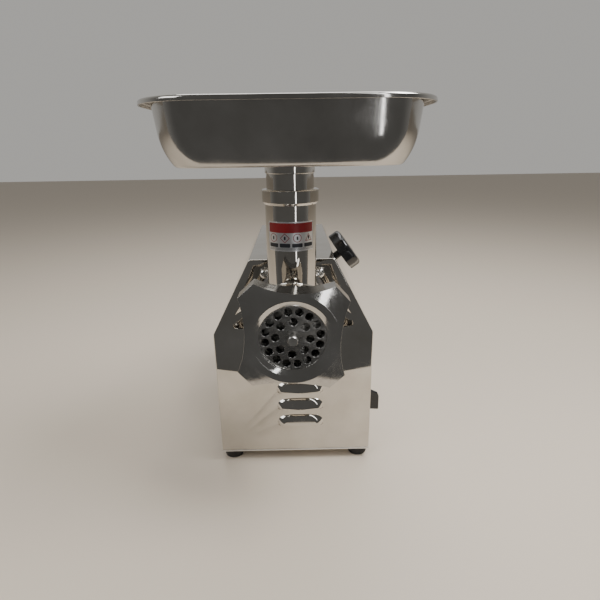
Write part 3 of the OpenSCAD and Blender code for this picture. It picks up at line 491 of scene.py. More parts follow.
LOUVRE_HALF = 29.5
LOUVRE_HEIGHT = 14.8
LOUVRE_OUT = 5.2
LOUVRE_POWER = 3.4
LOUVRE_STEPS = 48


def louvre_point(share, angle):
    """Place in a louvre's own plane: share of the way from its centre to its edge."""
    x = LOUVRE_HALF * share * math.copysign(abs(math.cos(angle)) ** (2 / LOUVRE_POWER), math.cos(angle))
    z = LOUVRE_HEIGHT * share * abs(math.sin(angle)) ** (2 / LOUVRE_POWER)
    return x, z


def louvre_height(share, z):
    """How far a louvre stands out at a share of the way to its edge, and a height over its lip."""
    t = min(max((share - 0.70) / 0.29, 0.0), 1.0)
    return LOUVRE_OUT * (1 - t) ** 0.8 * (1 + 0.8 * t) * (1 - 0.5 * z / LOUVRE_HEIGHT)


def louvre_edge(x0, z0):
    """Edge of the cut that a louvre stands over, as a loop."""
    loop = []
    for k in range(LOUVRE_STEPS + 1):
        x, z = louvre_point(1, math.pi * k / LOUVRE_STEPS)
        loop.append(Vector((x0 + x, z0 + z)))
    return loop


def louvre(x0, z0, y, out, rings=24):
    """Points and faces of one pressed louvre, open along its lower edge."""
    rows = []
    for r in range(rings + 1):
        share = 0.04 + 0.96 * r / rings
        row = []
        for k in range(LOUVRE_STEPS + 1):
            x, z = louvre_point(share, math.pi * k / LOUVRE_STEPS)
            row.append(Vector((x0 + x, y + out * louvre_height(share, z), z0 + z)))
        rows.append(row)
    points, faces = skin(rows, close_columns=False)
    tip = len(points)
    points.append(Vector((x0, y + out * louvre_height(0, 0), z0)))
    faces += [(k, k + 1, tip) for k in range(LOUVRE_STEPS)]
    return points, faces


def end_face(name, y, out, louvres, holes, node):
    """End panel: one sheet with a rounded edge, pressed louvres and round holes (x, z, r)."""
    rows = []
    for k in range(7):
        a = math.pi / 2 * k / 6
        depth = SHEET * (1 - math.sin(a))
        path = housing_path(SHEET * (1 - math.cos(a)))
        rows.append([Vector((p.x, y - out * depth, p.y)) for p in path])
    rows.insert(0, [Vector((p.x, y - out * SHEET * 1.02, p.y)) for p in housing_path()])
    loops = [housing_path(SHEET)] + [louvre_edge(x, z) for x, z in louvres]
    loops += [ring_path(r, 72, x, z) for x, z, r in holes]
    parts = [skin(rows), filled(loops, lambda a, b: Vector((a, y, b)))]
    parts += [louvre(x, z, y, out) for x, z in louvres]
    mesh = make_mesh(name, *parts)
    facing = sum((p.normal.y * p.area for p in mesh.polygons), 0.0)
    if facing * out < 0:
        mesh.flip_normals()
    obj = add(name, mesh, "mirror_steel", stands_for=[node])
    step = obj.modifiers.new("sheet", "SOLIDIFY")
    step.thickness = 0.9 * MM
    step.offset = -1
    step.use_rim = True


VENT_COUNT = 6
VENT_FIRST_Y = 72
VENT_STEP = 14
VENT_LOW_Z = 60
VENT_HIGH_Z = 106
VENT_HALF = 2.0


def vent_cutter(side, i):
    """Cutter of one upright slot with round ends in a side wall."""
    y = VENT_FIRST_Y + i * VENT_STEP
    x0, x1 = sorted((side * (HALF_WIDTH - 4), side * (HALF_WIDTH + 4)))
    low, high = (x0, y - VENT_HALF, VENT_LOW_Z), (x1, y + VENT_HALF, VENT_HIGH_Z)
    return box_mesh(low, high, 0, VENT_HALF - 0.01)


def wrap_path(inset):
    """Section of the folded sheet, from its lower right edge over the top to its lower left edge."""
    side = HALF_WIDTH - inset
    return [Vector((side, SKIN_Z))] + housing_path(inset)[2:] + [Vector((-side, SKIN_Z))]


def housing():
    """Folded sheet round the sides and the top, with side vents and the hole of the clamp."""
    start = FRONT_Y + SHEET * 1.1
    end = BACK_Y - SHEET * 1.1
    rows = []
    for y, inset in ((start, 0.25), (start + 0.25, 0), (end - 0.25, 0), (end, 0.25)):
        rows.append([Vector((p.x, y, p.y)) for p in wrap_path(inset)])
    for y in (end, start):
        rows.append([Vector((p.x, y, p.y)) for p in wrap_path(SHEET)])
    points, faces = skin(rows, close_rows=True, close_columns=False)
    width = len(rows[0])
    faces.append(tuple(i * width for i in range(len(rows))))
    faces.append(tuple(i * width + width - 1 for i in reversed(range(len(rows)))))
    mesh = make_mesh("housing_wrap", (points, faces))
    obj = add("housing_wrap", mesh, "mirror_steel", stands_for=["wrap_shell"])
    cutters = [vent_cutter(side, i) for side in (-1, 1) for i in range(VENT_COUNT)]
    hole = turned([(0, 40), (8, 40), (8, 110), (0, 110)], CLAMP_START, CLAMP_DIRECTION, 48)
    cutters.append(make_mesh("hole", hole))
    cut(obj, cutters, 38)


FOOT_R = 13.2


def rubber_feet():
    """Four round feet that widen upwards, hollow underneath."""
    lo, hi = span("rubber_feet")
    profile = [(0, 6), (5, 6, 0.4), (5, 0, 0.8), (FOOT_R - 1.1, 0, 1.4)]
    profile += [(FOOT_R - 0.1, 12.6, 1.0), (FOOT_R - 0.9, 13.9, 0.4), (0, 13.9)]
    profile = rounded(profile, 4, closed=False)
    xs, ys = (lo.x + FOOT_R, hi.x - FOOT_R), (lo.y + FOOT_R, hi.y - FOOT_R)
    for i, (x, y) in enumerate((x, y) for x in xs for y in ys):
        name = f"rubber_foot_{i + 1}"
        mesh = make_mesh(name, turned(profile, (x, y, 0)))
        add(name, mesh, "rubber", stands_for=["rubber_feet"])


def hexagon(flats, angle):
    """Radius of a hexagon at an angle."""
    return flats / 2 / math.cos(angle % (TURN / 6) - TURN / 12)


BOLT_AT = 31.8


def socket_bolts():
    """Four dome head bolts with hexagonal recesses, on the front panel round the neck."""
    profile = [(6.0, 0), (6.0, 0.5), (5.7, 1.5), (5.0, 2.6), (4.1, 3.3), (3.1, 3.75), (2.75, 3.8)]
    recess = [(2.4, 3.72), (2.3, 1.9), (0.0, 1.5)]

    def shape(radius, angle):
        if 0 < radius <= recess[0][0]:
            return hexagon(radius * 1.74, angle)
        return radius

    for i, (sx, sz) in enumerate(((-1, 1), (1, 1), (-1, -1), (1, -1))):
        name = f"socket_bolt_{i + 1}"
        base = (sx * BOLT_AT, FRONT_Y, AXIS_Z + sz * BOLT_AT)
        mesh = make_mesh(name, turned(profile + recess, base, (0, -1, 0), 72, shape))
        add(name, mesh, "bolt_steel", stands_for=["socket_bolts"])


SCREW_ROWS = ((62, 24), (85, 170), (42, 262))


def rear_screws():
    """Pairs of pan head screws with cross recesses, on the rear panel."""
    profile = [(3.9, 0), (3.9, 0.7, 0.3), (3.0, 2.1, 0.8), (0, 2.2), (0, 0)]
    profile = rounded(profile, 4, closed=False)
    arms = [(2.0, 0.45), (0.45, 2.0)]
    low, high = BACK_Y + 1.1, BACK_Y + 3
    for i, (x, z) in enumerate((s * x, z) for x, z in SCREW_ROWS for s in (-1, 1)):
        name = f"rear_screw_{i + 1}"
        mesh = make_mesh(name, turned(profile, (x, BACK_Y, z), (0, 1, 0), 64))
        obj = add(name, mesh, "bolt_steel", stands_for=["rear_screws"])
        cut(obj, [box_mesh((x - a, low, z - b), (x + a, high, z + b)) for a, b in arms], 30)


def switch_base():
    """Round base of the rotary switch's knob, with a rounded edge."""
    centre = middle("switch_knob")
    disc = span("switch_knob")[1].z - centre.z
    hub = 9.4
    low, top = HALF_WIDTH + 0.35, HALF_WIDTH + 4.2
    profile = [(hub, HALF_WIDTH + 1.2), (hub, low, 0.3), (disc, low, 0.5), (disc, top, 1.4)]
    profile = rounded(profile + [(3, top), (0, top)], 6, closed=False)
    mesh = make_mesh("switch_base", turned(profile, (0, centre.y, centre.z), (1, 0, 0), 120))
    add("switch_base", mesh, "knob_plastic", "switch", stands_for=["switch_knob"], weigh=True)


def switch_fin():
    """Pointer fin on the knob of the rotary switch."""
    lo, hi = span("switch_knob")
    y = middle("switch_knob").y
    outer = hi.x - HALF_WIDTH
    corners = [(3.2, 1.2, 0.8), (outer, 0.1, 1.2), (outer, 20.8, 1.5)]
    corners += [(outer - 1.7, 25.5, 1.5), (3.2, 32.6, 0.8)]
    section = rounded(corners, 6)
    rows = []
    for side in (y - 2.45, y + 2.45):
        rows.append([Vector((HALF_WIDTH + p.x, side, lo.z + p.y)) for p in section])
    points, faces = skin(rows)
    count = len(section)
    faces += [tuple(range(count)), tuple(range(count, 2 * count))]
    mesh = make_mesh("switch_fin", (points, faces))
    add("switch_fin", mesh, "knob_plastic", "switch", stands_for=["switch_knob"], edge=0.8)


def gland():
    """Inlet gland on the rear panel: hexagonal flange, domed cap with grip ribs, and a bore."""
    centre = middle("cord_gland")
    base = (centre.x, BACK_Y, centre.z)
    out = (0, 1, 0)
    bore = 4.3
    end = span("cord_gland")[1].y - BACK_Y

    def six_sided(radius, angle):
        if radius <= 9:
            return radius
        return min(radius, hexagon(radius * 1.75, angle))

    def ribbed(radius, angle):
        if radius < 8.4:
            return radius
        return radius - 0.35 * (0.5 + 0.5 * math.cos(18 * angle))

    flange = [(bore, 0.05), (10.6, 0.05), (10.9, 0.5), (10.9, 3.2)]
    flange += [(10.2, 3.9), (9.2, 3.95), (bore, 3.95)]
    mesh = make_mesh("gland_flange", turned(flange, base, out, 96, six_sided, closed=True))
    add("gland_flange", mesh, "black_plastic", stands_for=["cord_gland"], sharp=25)

    cap = [(bore, 3.9), (9.2, 3.9, 0.3), (9.2, 8.6, 1.2), (7.4, end - 0.05, 1.0)]
    cap = rounded(cap + [(bore + 0.8, end - 0.05, 0.5), (bore, end - 1.2)], 4)
    mesh = make_mesh("gland_cap", turned(cap, base, out, 144, ribbed, closed=True))
    add("gland_cap", mesh, "black_plastic", stands_for=["cord_gland"], sharp=45)

    body = [(bore, -10), (8, -10), (8, 0.2), (bore, 0.2)]
    mesh = make_mesh("gland_body", turned(body, base, out, 64, closed=True))
    add("gland_body", mesh, "black_plastic", stands_for=["cord_gland"])


# ------------------------------------------------------------------ head


BARREL_R = 37.5
BARREL_BORE_R = 33.0
BARREL_BACK_Y = -70.0
THREAD_R = 41.0
THREAD_PITCH = 2.2
THREAD_END_Y = -149.0
FLANGE_R = 36.0
NECK_R = 26.0
NECK_BORE_R = 17.0
SEAT_R = 22.0
WELD = 2.6
TUBE_ANGLES = [TURN * j / 128 for j in range(128)]


def saddle(radius, angle, depth=0.0):
    """Height where an upright cylinder round the feed tube's axis meets the barrel."""
    x = radius * math.sin(angle)
    return AXIS_Z + math.sqrt((BARREL_R - depth) ** 2 - x * x)


def round_tube(radius, angle, z):
    """Place round the feed tube's axis, with angle 0 at the front."""
    return Vector((radius * math.sin(angle), TUBE_Y - radius * math.cos(angle), z))


def barrel():
    """Barrel with its thread at the front, shoulder and neck, open at the top to the feed tube."""
    crest, root = THREAD_R - 0.15, THREAD_R - 1.1
    thread = []
    y = BARREL_FRONT_Y + 0.8
    while y < THREAD_END_Y - 1.5:
        thread += [(crest, y), (crest, y + 0.5), (root, y + 1.1), (root, y + 1.5)]
        y += THREAD_PITCH
    outer = [(PLATE_R + 0.25, BARREL_FRONT_Y + 0.1), (THREAD_R - 1.0, BARREL_FRONT_Y)] + thread
    back = [(root, y), (THREAD_R, y + 0.9, 0.3), (THREAD_R, THREAD_END_Y, 1.0)]
    back += [(BARREL_R, THREAD_END_Y + 6, 2.5), (BARREL_R, BARREL_BACK_Y, 2.5), (31, -66.4, 1.5)]
    back += [(FLANGE_R, -66.2, 0.8), (FLANGE_R, FRONT_Y - 3, 0.8), (NECK_R, FRONT_Y - 3, 0.6)]
    back += [(NECK_R, NECK_END_Y, 1.0), (NECK_BORE_R, NECK_END_Y)]
    outer += rounded(back, 5, closed=False)
    inner = [(NECK_BORE_R, -34), (SEAT_R, -34), (SEAT_R, -66), (29, -66), (BARREL_BORE_R, -100)]
    inner += [(BARREL_BORE_R, PLATE_BACK_Y), (PLATE_R + 0.15, PLATE_BACK_Y)]
    body = turned(outer + inner, (0, 0, AXIS_Z), (0, 1, 0), 128, closed=True)
    obj = add("barrel", make_mesh("barrel", body), "head_steel", "head", stands_for=["head_barrel"])
    throat = turned([(0, 0), (22.6, 0), (22.6, 60), (0, 60)], (0, TUBE_Y, AXIS_Z), (0, 0, 1), 96)
    cut(obj, [make_mesh("throat", throat)], 32)


def tube():
    """Feed tube that stands on the barrel, with a step inside for the tray's spigot."""
    bore, low_bore = TUBE_R - 1.9, TUBE_R - 3.4
    straight_z, step_z = TUBE_TOP_Z - 20, SPIGOT_LOW_Z - 0.2
    top = [(TUBE_R, straight_z), (TUBE_R, TUBE_TOP_Z, 0.5), (bore, TUBE_TOP_Z, 0.7)]
    top = rounded(top + [(bore, step_z), (low_bore, step_z)], 4, closed=False)
    rows = []
    for k in range(9):
        row = []
        for a in TUBE_ANGLES:
            foot_z = saddle(TUBE_R, a, 0.8)
            row.append(round_tube(TUBE_R, a, foot_z + (straight_z - foot_z) * k / 8))
        rows.append(row)
    for r, z in top[1:]:
        rows.append([round_tube(r, a, z) for a in TUBE_ANGLES])
    rows.append([round_tube(low_bore, a, saddle(low_bore, a, 0.8)) for a in TUBE_ANGLES])
    mesh = make_mesh("tube", skin(rows, close_rows=True))
    add("tube", mesh, "head_steel", "head", stands_for=["feed_tube"], weigh=True)


def tube_weld():
    """Polished weld round the foot of the feed tube, with faint ripples."""
    rows = []
    for k in range(11):
        t = math.pi / 2 * k / 10
        r = TUBE_R - 0.2 + WELD * (1 - math.sin(t))
        row = []
        for a in TUBE_ANGLES:
            z = saddle(TUBE_R, a, 0.15) + WELD * (1 - math.cos(t))
            ripple = 0.10 * math.sin(46 * a) * math.sin(2 * t)
            row.append(round_tube(r, a, max(z, saddle(r, a) - 0.15) + ripple))
        rows.append(row)
    mesh = make_mesh("tube_weld", skin(rows))
    add("tube_weld", mesh, "head_steel", "head", stands_for=["feed_tube"], sharp=80)


def collar():
    """Collar round the top of the feed tube."""
    low, top, inner = COLLAR_LOW_Z, TUBE_TOP_Z, TUBE_R - 0.3
    profile = [(TUBE_R, low + 0.2), (TUBE_R + 0.5, low, 0.2), (COLLAR_R, low + 2.4, 0.6)]
    profile += [(COLLAR_R, top, 1.0), (inner, top, 0.4), (inner, top - 2)]
    rows = turned(rounded(profile, 5, closed=False), (0, TUBE_Y, 0), steps=len(TUBE_ANGLES))
    mesh = make_mesh("collar", rows)
    add("collar", mesh, "head_steel", "head", stands_for=["tube_collar"], weigh=True)


def key_pin():
    """Round pin that keeps the plate from turning."""
    lo, hi = span("plate_key_pin")
    centre = middle("plate_key_pin")
    long = hi.y - lo.y
    profile = rounded([(0, 0), (2.45, 0, 0.5), (2.45, long, 0.3), (0, long)], 3, closed=False)
    mesh = make_mesh("key_pin", turned(profile, (centre.x, lo.y, centre.z), (0, 1, 0), 40))
    add("key_pin", mesh, "plain_steel", "head", stands_for=["plate_key_pin"])


# ------------------------------------------------------------------ label on the feed tube

LABEL_LOW_Z = span("tube_label")[0].z
LABEL_HEIGHT = span("tube_label")[1].z - LABEL_LOW_Z
LABEL_HALF = 25.9
LABEL_CORNER = 1.2
FOIL = 0.22
PRINT = 0.235


def on_tube(across, up, lift):
    """Place on the front of the feed tube, from the middle of the label's lower edge."""
    return round_tube(TUBE_R + lift, across / TUBE_R, LABEL_LOW_Z + up)


def patch(left, low, right, high, lift, radius=0.5, columns=40):
    """Points and faces of a rounded rectangle wrapped on the tube."""
    rows = []
    for i in range(columns + 1):
        x = left + (right - left) * i / columns
        gap = min(x - left, right - x)
        drop = 0
        if gap < radius:
            drop = radius - math.sqrt(max(radius ** 2 - (radius - gap) ** 2, 0))
        rows.append([on_tube(x, low + drop + (high - low - 2 * drop) * k / 4, lift) for k in range(5)])
    return skin(rows, close_columns=False)


def outline_sign(x0, z0, sides, size, turn, width=0.6):
    """Points and faces of the outline of a generic sign: a circle where sides is 0, otherwise a
    diamond or a triangle."""
    flat = math.cos(math.pi / sides) if sides else 1

    def edge(radius, angle):
        if not sides:
            return radius
        return radius * flat / math.cos((angle - turn) % (TURN / sides) - math.pi / sides)

    rows = []
    for inset in (0, width):
        reach = size - inset / flat
        row = []
        for j in range(72):
            a = TURN * j / 72
            r = edge(reach, a)
            row.append(on_tube(x0 + r * math.cos(a), z0 + r * math.sin(a), PRINT))
        rows.append(row)
    return skin(rows)


def label():
    """Foil of the label: its face and its four thin edges."""
    foil = [patch(-LABEL_HALF, 0, LABEL_HALF, LABEL_HEIGHT, FOIL, LABEL_CORNER, 64)]
    across = [-LABEL_HALF + 2 * LABEL_HALF * i / 64 for i in range(2, 63)]
    for up in (0, LABEL_HEIGHT):
        rows = [[on_tube(x, up, lift) for x in across] for lift in (0.0, FOIL)]
        foil.append(skin(rows, close_columns=False))
    ups = [LABEL_CORNER + (LABEL_HEIGHT - 2 * LABEL_CORNER) * k / 8 for k in range(9)]
    for x in (-LABEL_HALF, LABEL_HALF):
        rows = [[on_tube(x, up, lift) for up in ups] for lift in (0.0, FOIL)]
        foil.append(skin(rows, close_columns=False))
    add("label", make_mesh("label", *foil), "label_foil", "head", stands_for=["tube_label"])


def label_print():
    """Print on the label: a red band, four generic signs, four dark bars and two thin lines,
    and no lettering."""
    edge = LABEL_HALF - LABEL_CORNER
    top = LABEL_HEIGHT
    red = [patch(-edge, top - 10.8, edge, top - 1.3, PRINT)]
    black = []
    for i, (sides, turn) in enumerate(((0, 0), (4, 0), (0, 0), (3, math.pi / 2))):
        x = (i - 1.5) * 12.6
        size = 4.9 if sides else 4.3
        centre = top - (16.9 if sides == 3 else 16.0)
        red.append(outline_sign(x, centre, sides, size, turn))
        black.append(patch(x - 5.4, top - 25.4, x + 5.4, top - 21.4, PRINT, 0.3, 10))
        black.append(patch(x - 0.9, top - 17.9, x + 0.9, top - 14.3, PRINT + 0.005, 0.6, 6))
    for up in (1.6, 2.8):
        black.append(patch(-edge, up, edge, up + 0.35, PRINT, 0.1))
    prints = {"label_red_print": (red, PRINT_RED), "label_black_print": (black, PRINT_BLACK)}
    for name, (marks, ink) in prints.items():
        add(name, make_mesh(name, *marks), "label_foil", "head", finish=ink)


# ------------------------------------------------------------------ tray

WALL_U = 45.0
RIM_U = 55.0
CORNER_X = TRAY_HALF_WIDTH - RIM_U
CORNER_Y = TRAY_HALF_DEPTH - RIM_U
TRAY_LEAN = math.radians(7)
TRAY_ROUND = 5.0
SWEEP_R = 56.5
SWEEP_Z = TRAY_FLOOR_Z + 29.5
SWEEP_AT = Vector((
    WALL_U - (TRAY_TOP_Z - SWEEP_Z) * math.tan(TRAY_LEAN) - SWEEP_R * math.cos(TRAY_LEAN),
    SWEEP_Z + SWEEP_R * math.sin(TRAY_LEAN),
))
WALL_SINK = 0.9
SPIGOT_BORE_R = TUBE_R - 2.9


def tray_path(corner_steps=14, side_steps=16):
    """Stations round the tray: centre to measure from, outward direction, and how far along a
    straight wall the station is, from 0 at its ends to 1 in its middle."""
    stations = []
    corners = [(1, -1), (1, 1), (-1, 1), (-1, -1)]
    for q, (sx, sy) in enumerate(corners):
        centre = Vector((sx * CORNER_X, TUBE_Y + sy * CORNER_Y))
        start = -math.pi / 2 + q * math.pi / 2
        for k in range(corner_steps + 1):
            a = start + math.pi / 2 * k / corner_steps
            stations.append((centre, Vector((math.cos(a), math.sin(a))), 0.0))
        nx, ny = corners[(q + 1) % 4]
        following = Vector((nx * CORNER_X, TUBE_Y + ny * CORNER_Y))
        a = start + math.pi / 2
        out = Vector((math.cos(a), math.sin(a)))
        for k in range(1, side_steps):
            t = k / side_steps
            stations.append((centre.lerp(following, t), out, math.sin(math.pi * t) ** 2))
    return stations


def tray_wall():
    """Where the tray's flat floor ends, and the section from there: the round at the floor and
    the sweep of the leaning wall."""
    drop = SWEEP_AT.y - TRAY_FLOOR_Z - TRAY_ROUND
    reach = SWEEP_R - TRAY_ROUND
    round_at = Vector((SWEEP_AT.x + math.sqrt(reach ** 2 - drop ** 2), TRAY_FLOOR_Z + TRAY_ROUND))
    turn = -math.asin(drop / reach)
    wall = []
    for k in range(1, 9):
        a = -math.pi / 2 + (turn + math.pi / 2) * k / 8
        wall.append(round_at + TRAY_ROUND * Vector((math.cos(a), math.sin(a))))
    for k in range(1, 17):
        a = turn + (-TRAY_LEAN - turn) * k / 16
        wall.append(SWEEP_AT + SWEEP_R * Vector((math.cos(a), math.sin(a))))
    return round_at.x, wall


def tray():
    """Deep-drawn tray: floor, round, leaning wall with a slight hollow, and a flange whose rim
    turns down."""
    stations = tray_path()

    def level(u, z, sink=0.0):
        row = []
        for centre, out, share in stations:
            place = centre + out * (u - sink * share)
            row.append(Vector((place.x, place.y, z)))
        return row

    floor_end, wall = tray_wall()
    floor = level(floor_end, TRAY_FLOOR_Z)
    inner = []
    for p in floor:
        way = Vector((p.x, p.y - TUBE_Y)).normalized()
        inner.append(Vector((way.x * SPIGOT_BORE_R, TUBE_Y + way.y * SPIGOT_BORE_R, TRAY_FLOOR_Z)))
    rows = []
    for t in (0, 0.05, 0.15, 0.35, 0.6, 0.85, 1):
        rows.append([a.lerp(b, t) for a, b in zip(inner, floor)])
    under, rim_u = TRAY_TOP_Z - SHEET, RIM_U - SHEET
    head = (WALL_U - SHEET * math.tan(TRAY_LEAN), under, 2.0)
    rim = [wall[-1], head, (rim_u, under, 1.0), (rim_u, TRAY_TOP_Z - 4.4)]
    rim = rounded(rim, 6, closed=False)
    wall += [wall[-1].lerp(rim[1], k / 6) for k in range(1, 6)]
    for place in wall:
        t = (place.y - TRAY_FLOOR_Z) / (under - TRAY_FLOOR_Z)
        rows.append(level(place.x, place.y, WALL_SINK * math.sin(math.pi * min(1, t ** 0.8)) ** 2))
    rows += [level(p.x, p.y) for p in rim[1:]]
    mesh = make_mesh("tray", skin(rows))
    floor_faces = [p for p in mesh.polygons if p.center.z < (TRAY_FLOOR_Z + 0.5) * MM]
    if sum(p.normal.z * p.area for p in floor_faces) > 0:
        mesh.flip_normals()
    obj = add("tray", mesh, "tray_steel", "tray", stands_for=["tray_pan"], sharp=60)
    step = obj.modifiers.new("sheet", "SOLIDIFY")
    step.thickness = SHEET * MM
    step.offset = -1
    round_edges(obj, 0.45, 3, 50)


def spigot():
    """Spigot under the tray that drops into the feed tube, with a shoulder above the tube."""
    bore, outer = SPIGOT_BORE_R, TUBE_R - 1.95
    end, low = SPIGOT_LOW_Z + 0.2, TRAY_FLOOR_Z - 8
    profile = [(bore, end), (outer, end, 0.5), (outer, low - 0.2, 0.3), (outer + 1.2, low, 0.4)]
    profile += [(outer + 1.2, low + 6.5, 1.2), (outer + 2.75, TRAY_FLOOR_Z), (bore, TRAY_FLOOR_Z)]
    rows = turned(rounded(profile, 5), (0, TUBE_Y, 0), steps=128, closed=True)
    add("spigot", make_mesh("spigot", rows), "head_steel", "tray", stands_for=["tray_spigot"], weigh=True)


# ------------------------------------------------------------------ cutting set

NOTCH_R = 2.8
NOTCH_AT = PLATE_R + 0.2
HOLE_R = 4.0
HOLE_RINGS = ((26.5, 16, 0.5), (16.5, 8, 0))
STUD_HOLE_R = 5.06


def plate_outline(inset):
    """Outer edge of the cutting plate, with the notch at its foot, moved inwards by the inset."""
    loop = []
    for j in range(360):
        a = TURN * j / 360
        off = (a + math.pi / 2 + math.pi) % TURN - math.pi
        reach = PLATE_R - inset
        notch = NOTCH_R + inset
        side = NOTCH_AT * math.sin(off)
        if abs(off) < math.pi / 2 and abs(side) < notch:
            reach = min(reach, NOTCH_AT * math.cos(off) - math.sqrt(notch ** 2 - side ** 2))
        loop.append(Vector((reach * math.cos(a), reach * math.sin(a))))
    return loop


def tightened(x, y, z):
    """A place about the drive axis, turned as far as the ring nut and the plate are."""
    return Vector((
        x * math.cos(NUT_TURN) + z * math.sin(NUT_TURN), y,
        AXIS_Z + z * math.cos(NUT_TURN) - x * math.sin(NUT_TURN),
    ))


def hole_plate():
    """Plate with two rings of holes and one for the auger's stud, all with rounded edges."""
    holes = []
    for r, count, shift in HOLE_RINGS:
        holes += [(r, TURN * (i + shift) / count, HOLE_R) for i in range(count)]
    holes.append((0, 0, STUD_HOLE_R))

    def loops_at(inset):
        loops = [plate_outline(inset)]
        for r, a, size in holes:
            loops.append(ring_path(size + inset, 40, r * math.cos(a), r * math.sin(a)))
        return loops

    parts = rounded_slab(loops_at, PLATE_FACE_Y, PLATE_BACK_Y, 0.35, lambda a, b, y: tightened(a, y, b))
    mesh = make_mesh("hole_plate", *parts)
    add("hole_plate", mesh, "plate_steel", "plate", stands_for=["cutting_plate"], sharp=25)


NUT_FACE_R = 44.5
NUT_BORE_R = 41.1
NUT_LIP_R = 33.0
LOBE_Y = NUT_FACE_Y + 5.5
LOBE_R = 64.1
CUT_R = 107.0
CUT_AT = NUT_FACE_R + 0.5 + CUT_R


def nut_edge(angle, tip):
    """Outer radius of the ring nut at an angle: hollow flanks, and straight lobe tips."""
    off = (angle + TURN / 8) % (TURN / 4) - TURN / 8
    side = CUT_AT * math.sin(off)
    flank = CUT_AT * math.cos(off) - math.sqrt(CUT_R ** 2 - side ** 2) if abs(side) < CUT_R else 1e9
    lobe = (angle % (TURN / 4)) - TURN / 8
    return min(flank, tip / math.cos(lobe))


def ring_nut():
    """Ring nut: flat face, bevelled opening, sloping lobes with straight tips and hollow flanks."""
    corner = math.acos((CUT_AT ** 2 + LOBE_R ** 2 - CUT_R ** 2) / (2 * CUT_AT * LOBE_R))
    tip = LOBE_R * math.cos(TURN / 8 - corner)
    slope = (LOBE_Y - NUT_FACE_Y) / (LOBE_R - NUT_FACE_R)
    angles = []
    for q in range(4):
        for k in range(48):
            angles.append(TURN / 4 * q - corner + 2 * corner * k / 48)
        for k in range(12):
            angles.append(TURN / 4 * q + corner + (TURN / 4 - 2 * corner) * k / 12)
    lip = (NUT_LIP_R, NUT_FACE_Y + 3.0)
    inner = rounded([lip, (38, NUT_FACE_Y, 0.5), (40, NUT_FACE_Y)], 3, closed=False)
    back = [(NUT_BORE_R, NUT_END_Y), (NUT_BORE_R, PLATE_FACE_Y), (NUT_LIP_R - 1, PLATE_FACE_Y)]
    back += [(NUT_LIP_R - 1, NUT_FACE_Y + 3.2), lip]
    rows = []
    for a in angles:
        edge = nut_edge(a, tip)
        out = edge - NUT_FACE_R
        section = inner + [(NUT_FACE_R, NUT_FACE_Y)]
        for t in (0.25, 0.5, 0.75, 1):
            section.append((NUT_FACE_R + out * t, NUT_FACE_Y + out * slope * t))
        section += [(edge, NUT_END_Y - 2), (edge - min(2, edge - 43), NUT_END_Y)] + back
        rows.append([tightened(r * math.cos(a), y, r * math.sin(a)) for r, y in section])
    mesh = make_mesh("lobed_ring", skin(rows, close_rows=True))
    add("lobed_ring", mesh, "ring_steel", "ring", stands_for=["ring_nut"], edge=0.45, edge_angle=12)


# ------------------------------------------------------------------ clamp screw


def clamp():
    """Black shank, and a knob with six shallow flutes, a grooved back and a dished front."""
    shank = rounded([(0, 30.4), (4.65, 30.4, 0.3), (4.65, 86, 0.5), (0, 86)], 3, closed=False)
    mesh = make_mesh("clamp_shank", turned(shank, CLAMP_START, CLAMP_DIRECTION, 48))
    add("clamp_shank", mesh, "black_oxide", "knob", stands_for=["clamp_stud"])
    back, thick, radius = 74.5, 14.5, 25.0
    profile = [(4.8, back + 3), (4.8, back, 0.4), (8.5, back, 0.3), (9.5, back + 1.2, 0.6)]
    profile += [(18, back + 1.2, 0.6), (19.2, back, 0.5), (radius, back, 0.9)]
    profile += [(radius, back + thick, 4.6), (10, back + thick, 3.0), (0, back + thick - 0.9)]

    def fluted(r, angle):
        if r < 18:
            return r
        off = (angle + TURN / 12) % (TURN / 6) - TURN / 12
        dip = max(0.0, 1 - (off / 0.30) ** 2)
        return r - 2.1 * dip * min(1.0, (r - 18) / 4)

    rows = turned(rounded(profile, 7, closed=False), CLAMP_START, CLAMP_DIRECTION, 180, fluted)
    add("knob", make_mesh("knob", rows), "knob_plastic", "knob", stands_for=["clamp_knob"], sharp=50)


# ------------------------------------------------------------------ inner parts keep their CAD shape


def dress_cad_nodes():
    """Every CAD node that still shows takes the finish of its slot."""
    slots = {part["node"]: part["material_slot"] for part in frame["record"]["subparts"]}
    for name, obj in frame["nodes"].items():
        if obj.hide_render:
            continue
        obj.data.materials.clear()
        obj.data.materials.append(FINISHES[slots[name]])


# ------------------------------------------------------------------ stage


def area_light(name, place, target, size, power):
    """Soft rectangular light that faces a target."""
    data = bpy.data.lights.new(name, "AREA")
    data.shape = "RECTANGLE"
    data.size, data.size_y = size
    data.energy = power
    obj = bpy.data.objects.new(name, data)
    scene.collection.objects.link(obj)
    obj.location = place
    obj.rotation_mode = "QUATERNION"
    obj.rotation_quaternion = (Vector(target) - Vector(place)).to_track_quat("-Z", "Y")
    obj.visible_camera = False


def floor():
    """Plain pale floor that ends a little way in front, as a table top does."""
    reach, near = 6.0, -0.30
    mesh = bpy.data.meshes.new("floor")
    corners = [(-reach, near, 0), (reach, near, 0), (reach, reach, 0), (-reach, reach, 0)]
    mesh.from_pydata(corners, [], [(0, 1, 2, 3)])
    obj = bpy.data.objects.new("floor", mesh)
    scene.collection.objects.link(obj)
    mesh.materials.append(new_material("floor", (0.70, 0.61, 0.50), 0.0, 0.55)[0])


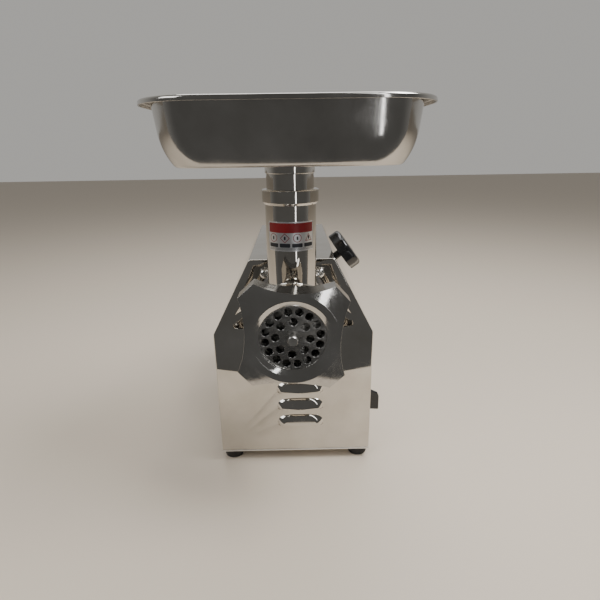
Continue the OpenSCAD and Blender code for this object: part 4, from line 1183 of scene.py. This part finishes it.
def world():
    """Plain studio, pale behind and dimmer in front, the same for every ray."""
    studio = bpy.data.worlds.new("studio")
    scene.world = studio
    studio.use_nodes = True
    tree = studio.node_tree
    tree.nodes.clear()
    place = tree.nodes.new("ShaderNodeTexCoord")
    split = tree.nodes.new("ShaderNodeSeparateXYZ")
    tree.links.new(place.outputs["Generated"], split.inputs["Vector"])
    depth = ramp(tree, split.outputs["Y"], 0, 1, -0.5, 0.6)
    back = tree.nodes.new("ShaderNodeBackground")
    color = tint(tree, depth, (0.10, 0.098, 0.094), (0.42, 0.41, 0.39), 0.0, 1.0)
    tree.links.new(color, back.inputs["Color"])
    out = tree.nodes.new("ShaderNodeOutputWorld")
    tree.links.new(back.outputs["Background"], out.inputs["Surface"])


def camera():
    """Camera in front of the machine, above it and looking down on it."""
    yaw, pitch, roll = (math.radians(a) for a in (0.64, 18.83, -0.87))
    forward = Vector((math.sin(yaw) * math.cos(pitch), math.cos(yaw) * math.cos(pitch), -math.sin(pitch)))
    level = Vector((math.cos(yaw), -math.sin(yaw), 0))
    upright = level.cross(forward)
    right = level * math.cos(roll) + upright * math.sin(roll)
    up = upright * math.cos(roll) - level * math.sin(roll)
    data = bpy.data.cameras.new("camera")
    data.lens = 26.75
    data.sensor_width = 36
    data.clip_start = 0.01
    obj = bpy.data.objects.new("camera", data)
    scene.collection.objects.link(obj)
    turn = Matrix((right, up, -forward)).transposed().to_4x4()
    obj.matrix_world = Matrix.Translation(Vector((3.02, -559.58, 395.63)) * MM) @ turn
    scene.camera = obj


# ------------------------------------------------------------------ the whole

louvres = [(7, z) for z in (54.5, 78.5, 102.5)]
end_face("front_face", FRONT_Y, -1, louvres, [(0, AXIS_Z, 33.5)], "front_panel")
louvres = [(0, z) for z in (70, 95, 120, 145, 170)]
gland_at = middle("cord_gland")
end_face("rear_face", BACK_Y, 1, louvres, [(gland_at.x, gland_at.z, 8.3)], "rear_panel")
housing()
rubber_feet()
socket_bolts()
rear_screws()
switch_base()
switch_fin()
gland()
barrel()
tube()
tube_weld()
collar()
key_pin()
label()
label_print()
tray()
spigot()
hole_plate()
ring_nut()
clamp()
dress_cad_nodes()

floor()
world()
area_light("key", (0.75, -0.35, 1.45), (0, -0.05, 0.2), (0.7, 0.7), 22)
area_light("fill", (-1.2, -0.9, 1.2), (0, 0, 0.25), (0.9, 0.9), 9)
area_light("top", (0.1, 0.6, 1.7), (0, 0, 0.2), (1.4, 0.9), 14)
area_light("streak", (0.26, -0.75, 0.6), (0, -0.1, 0.3), (0.06, 1.2), 1.0)
camera()
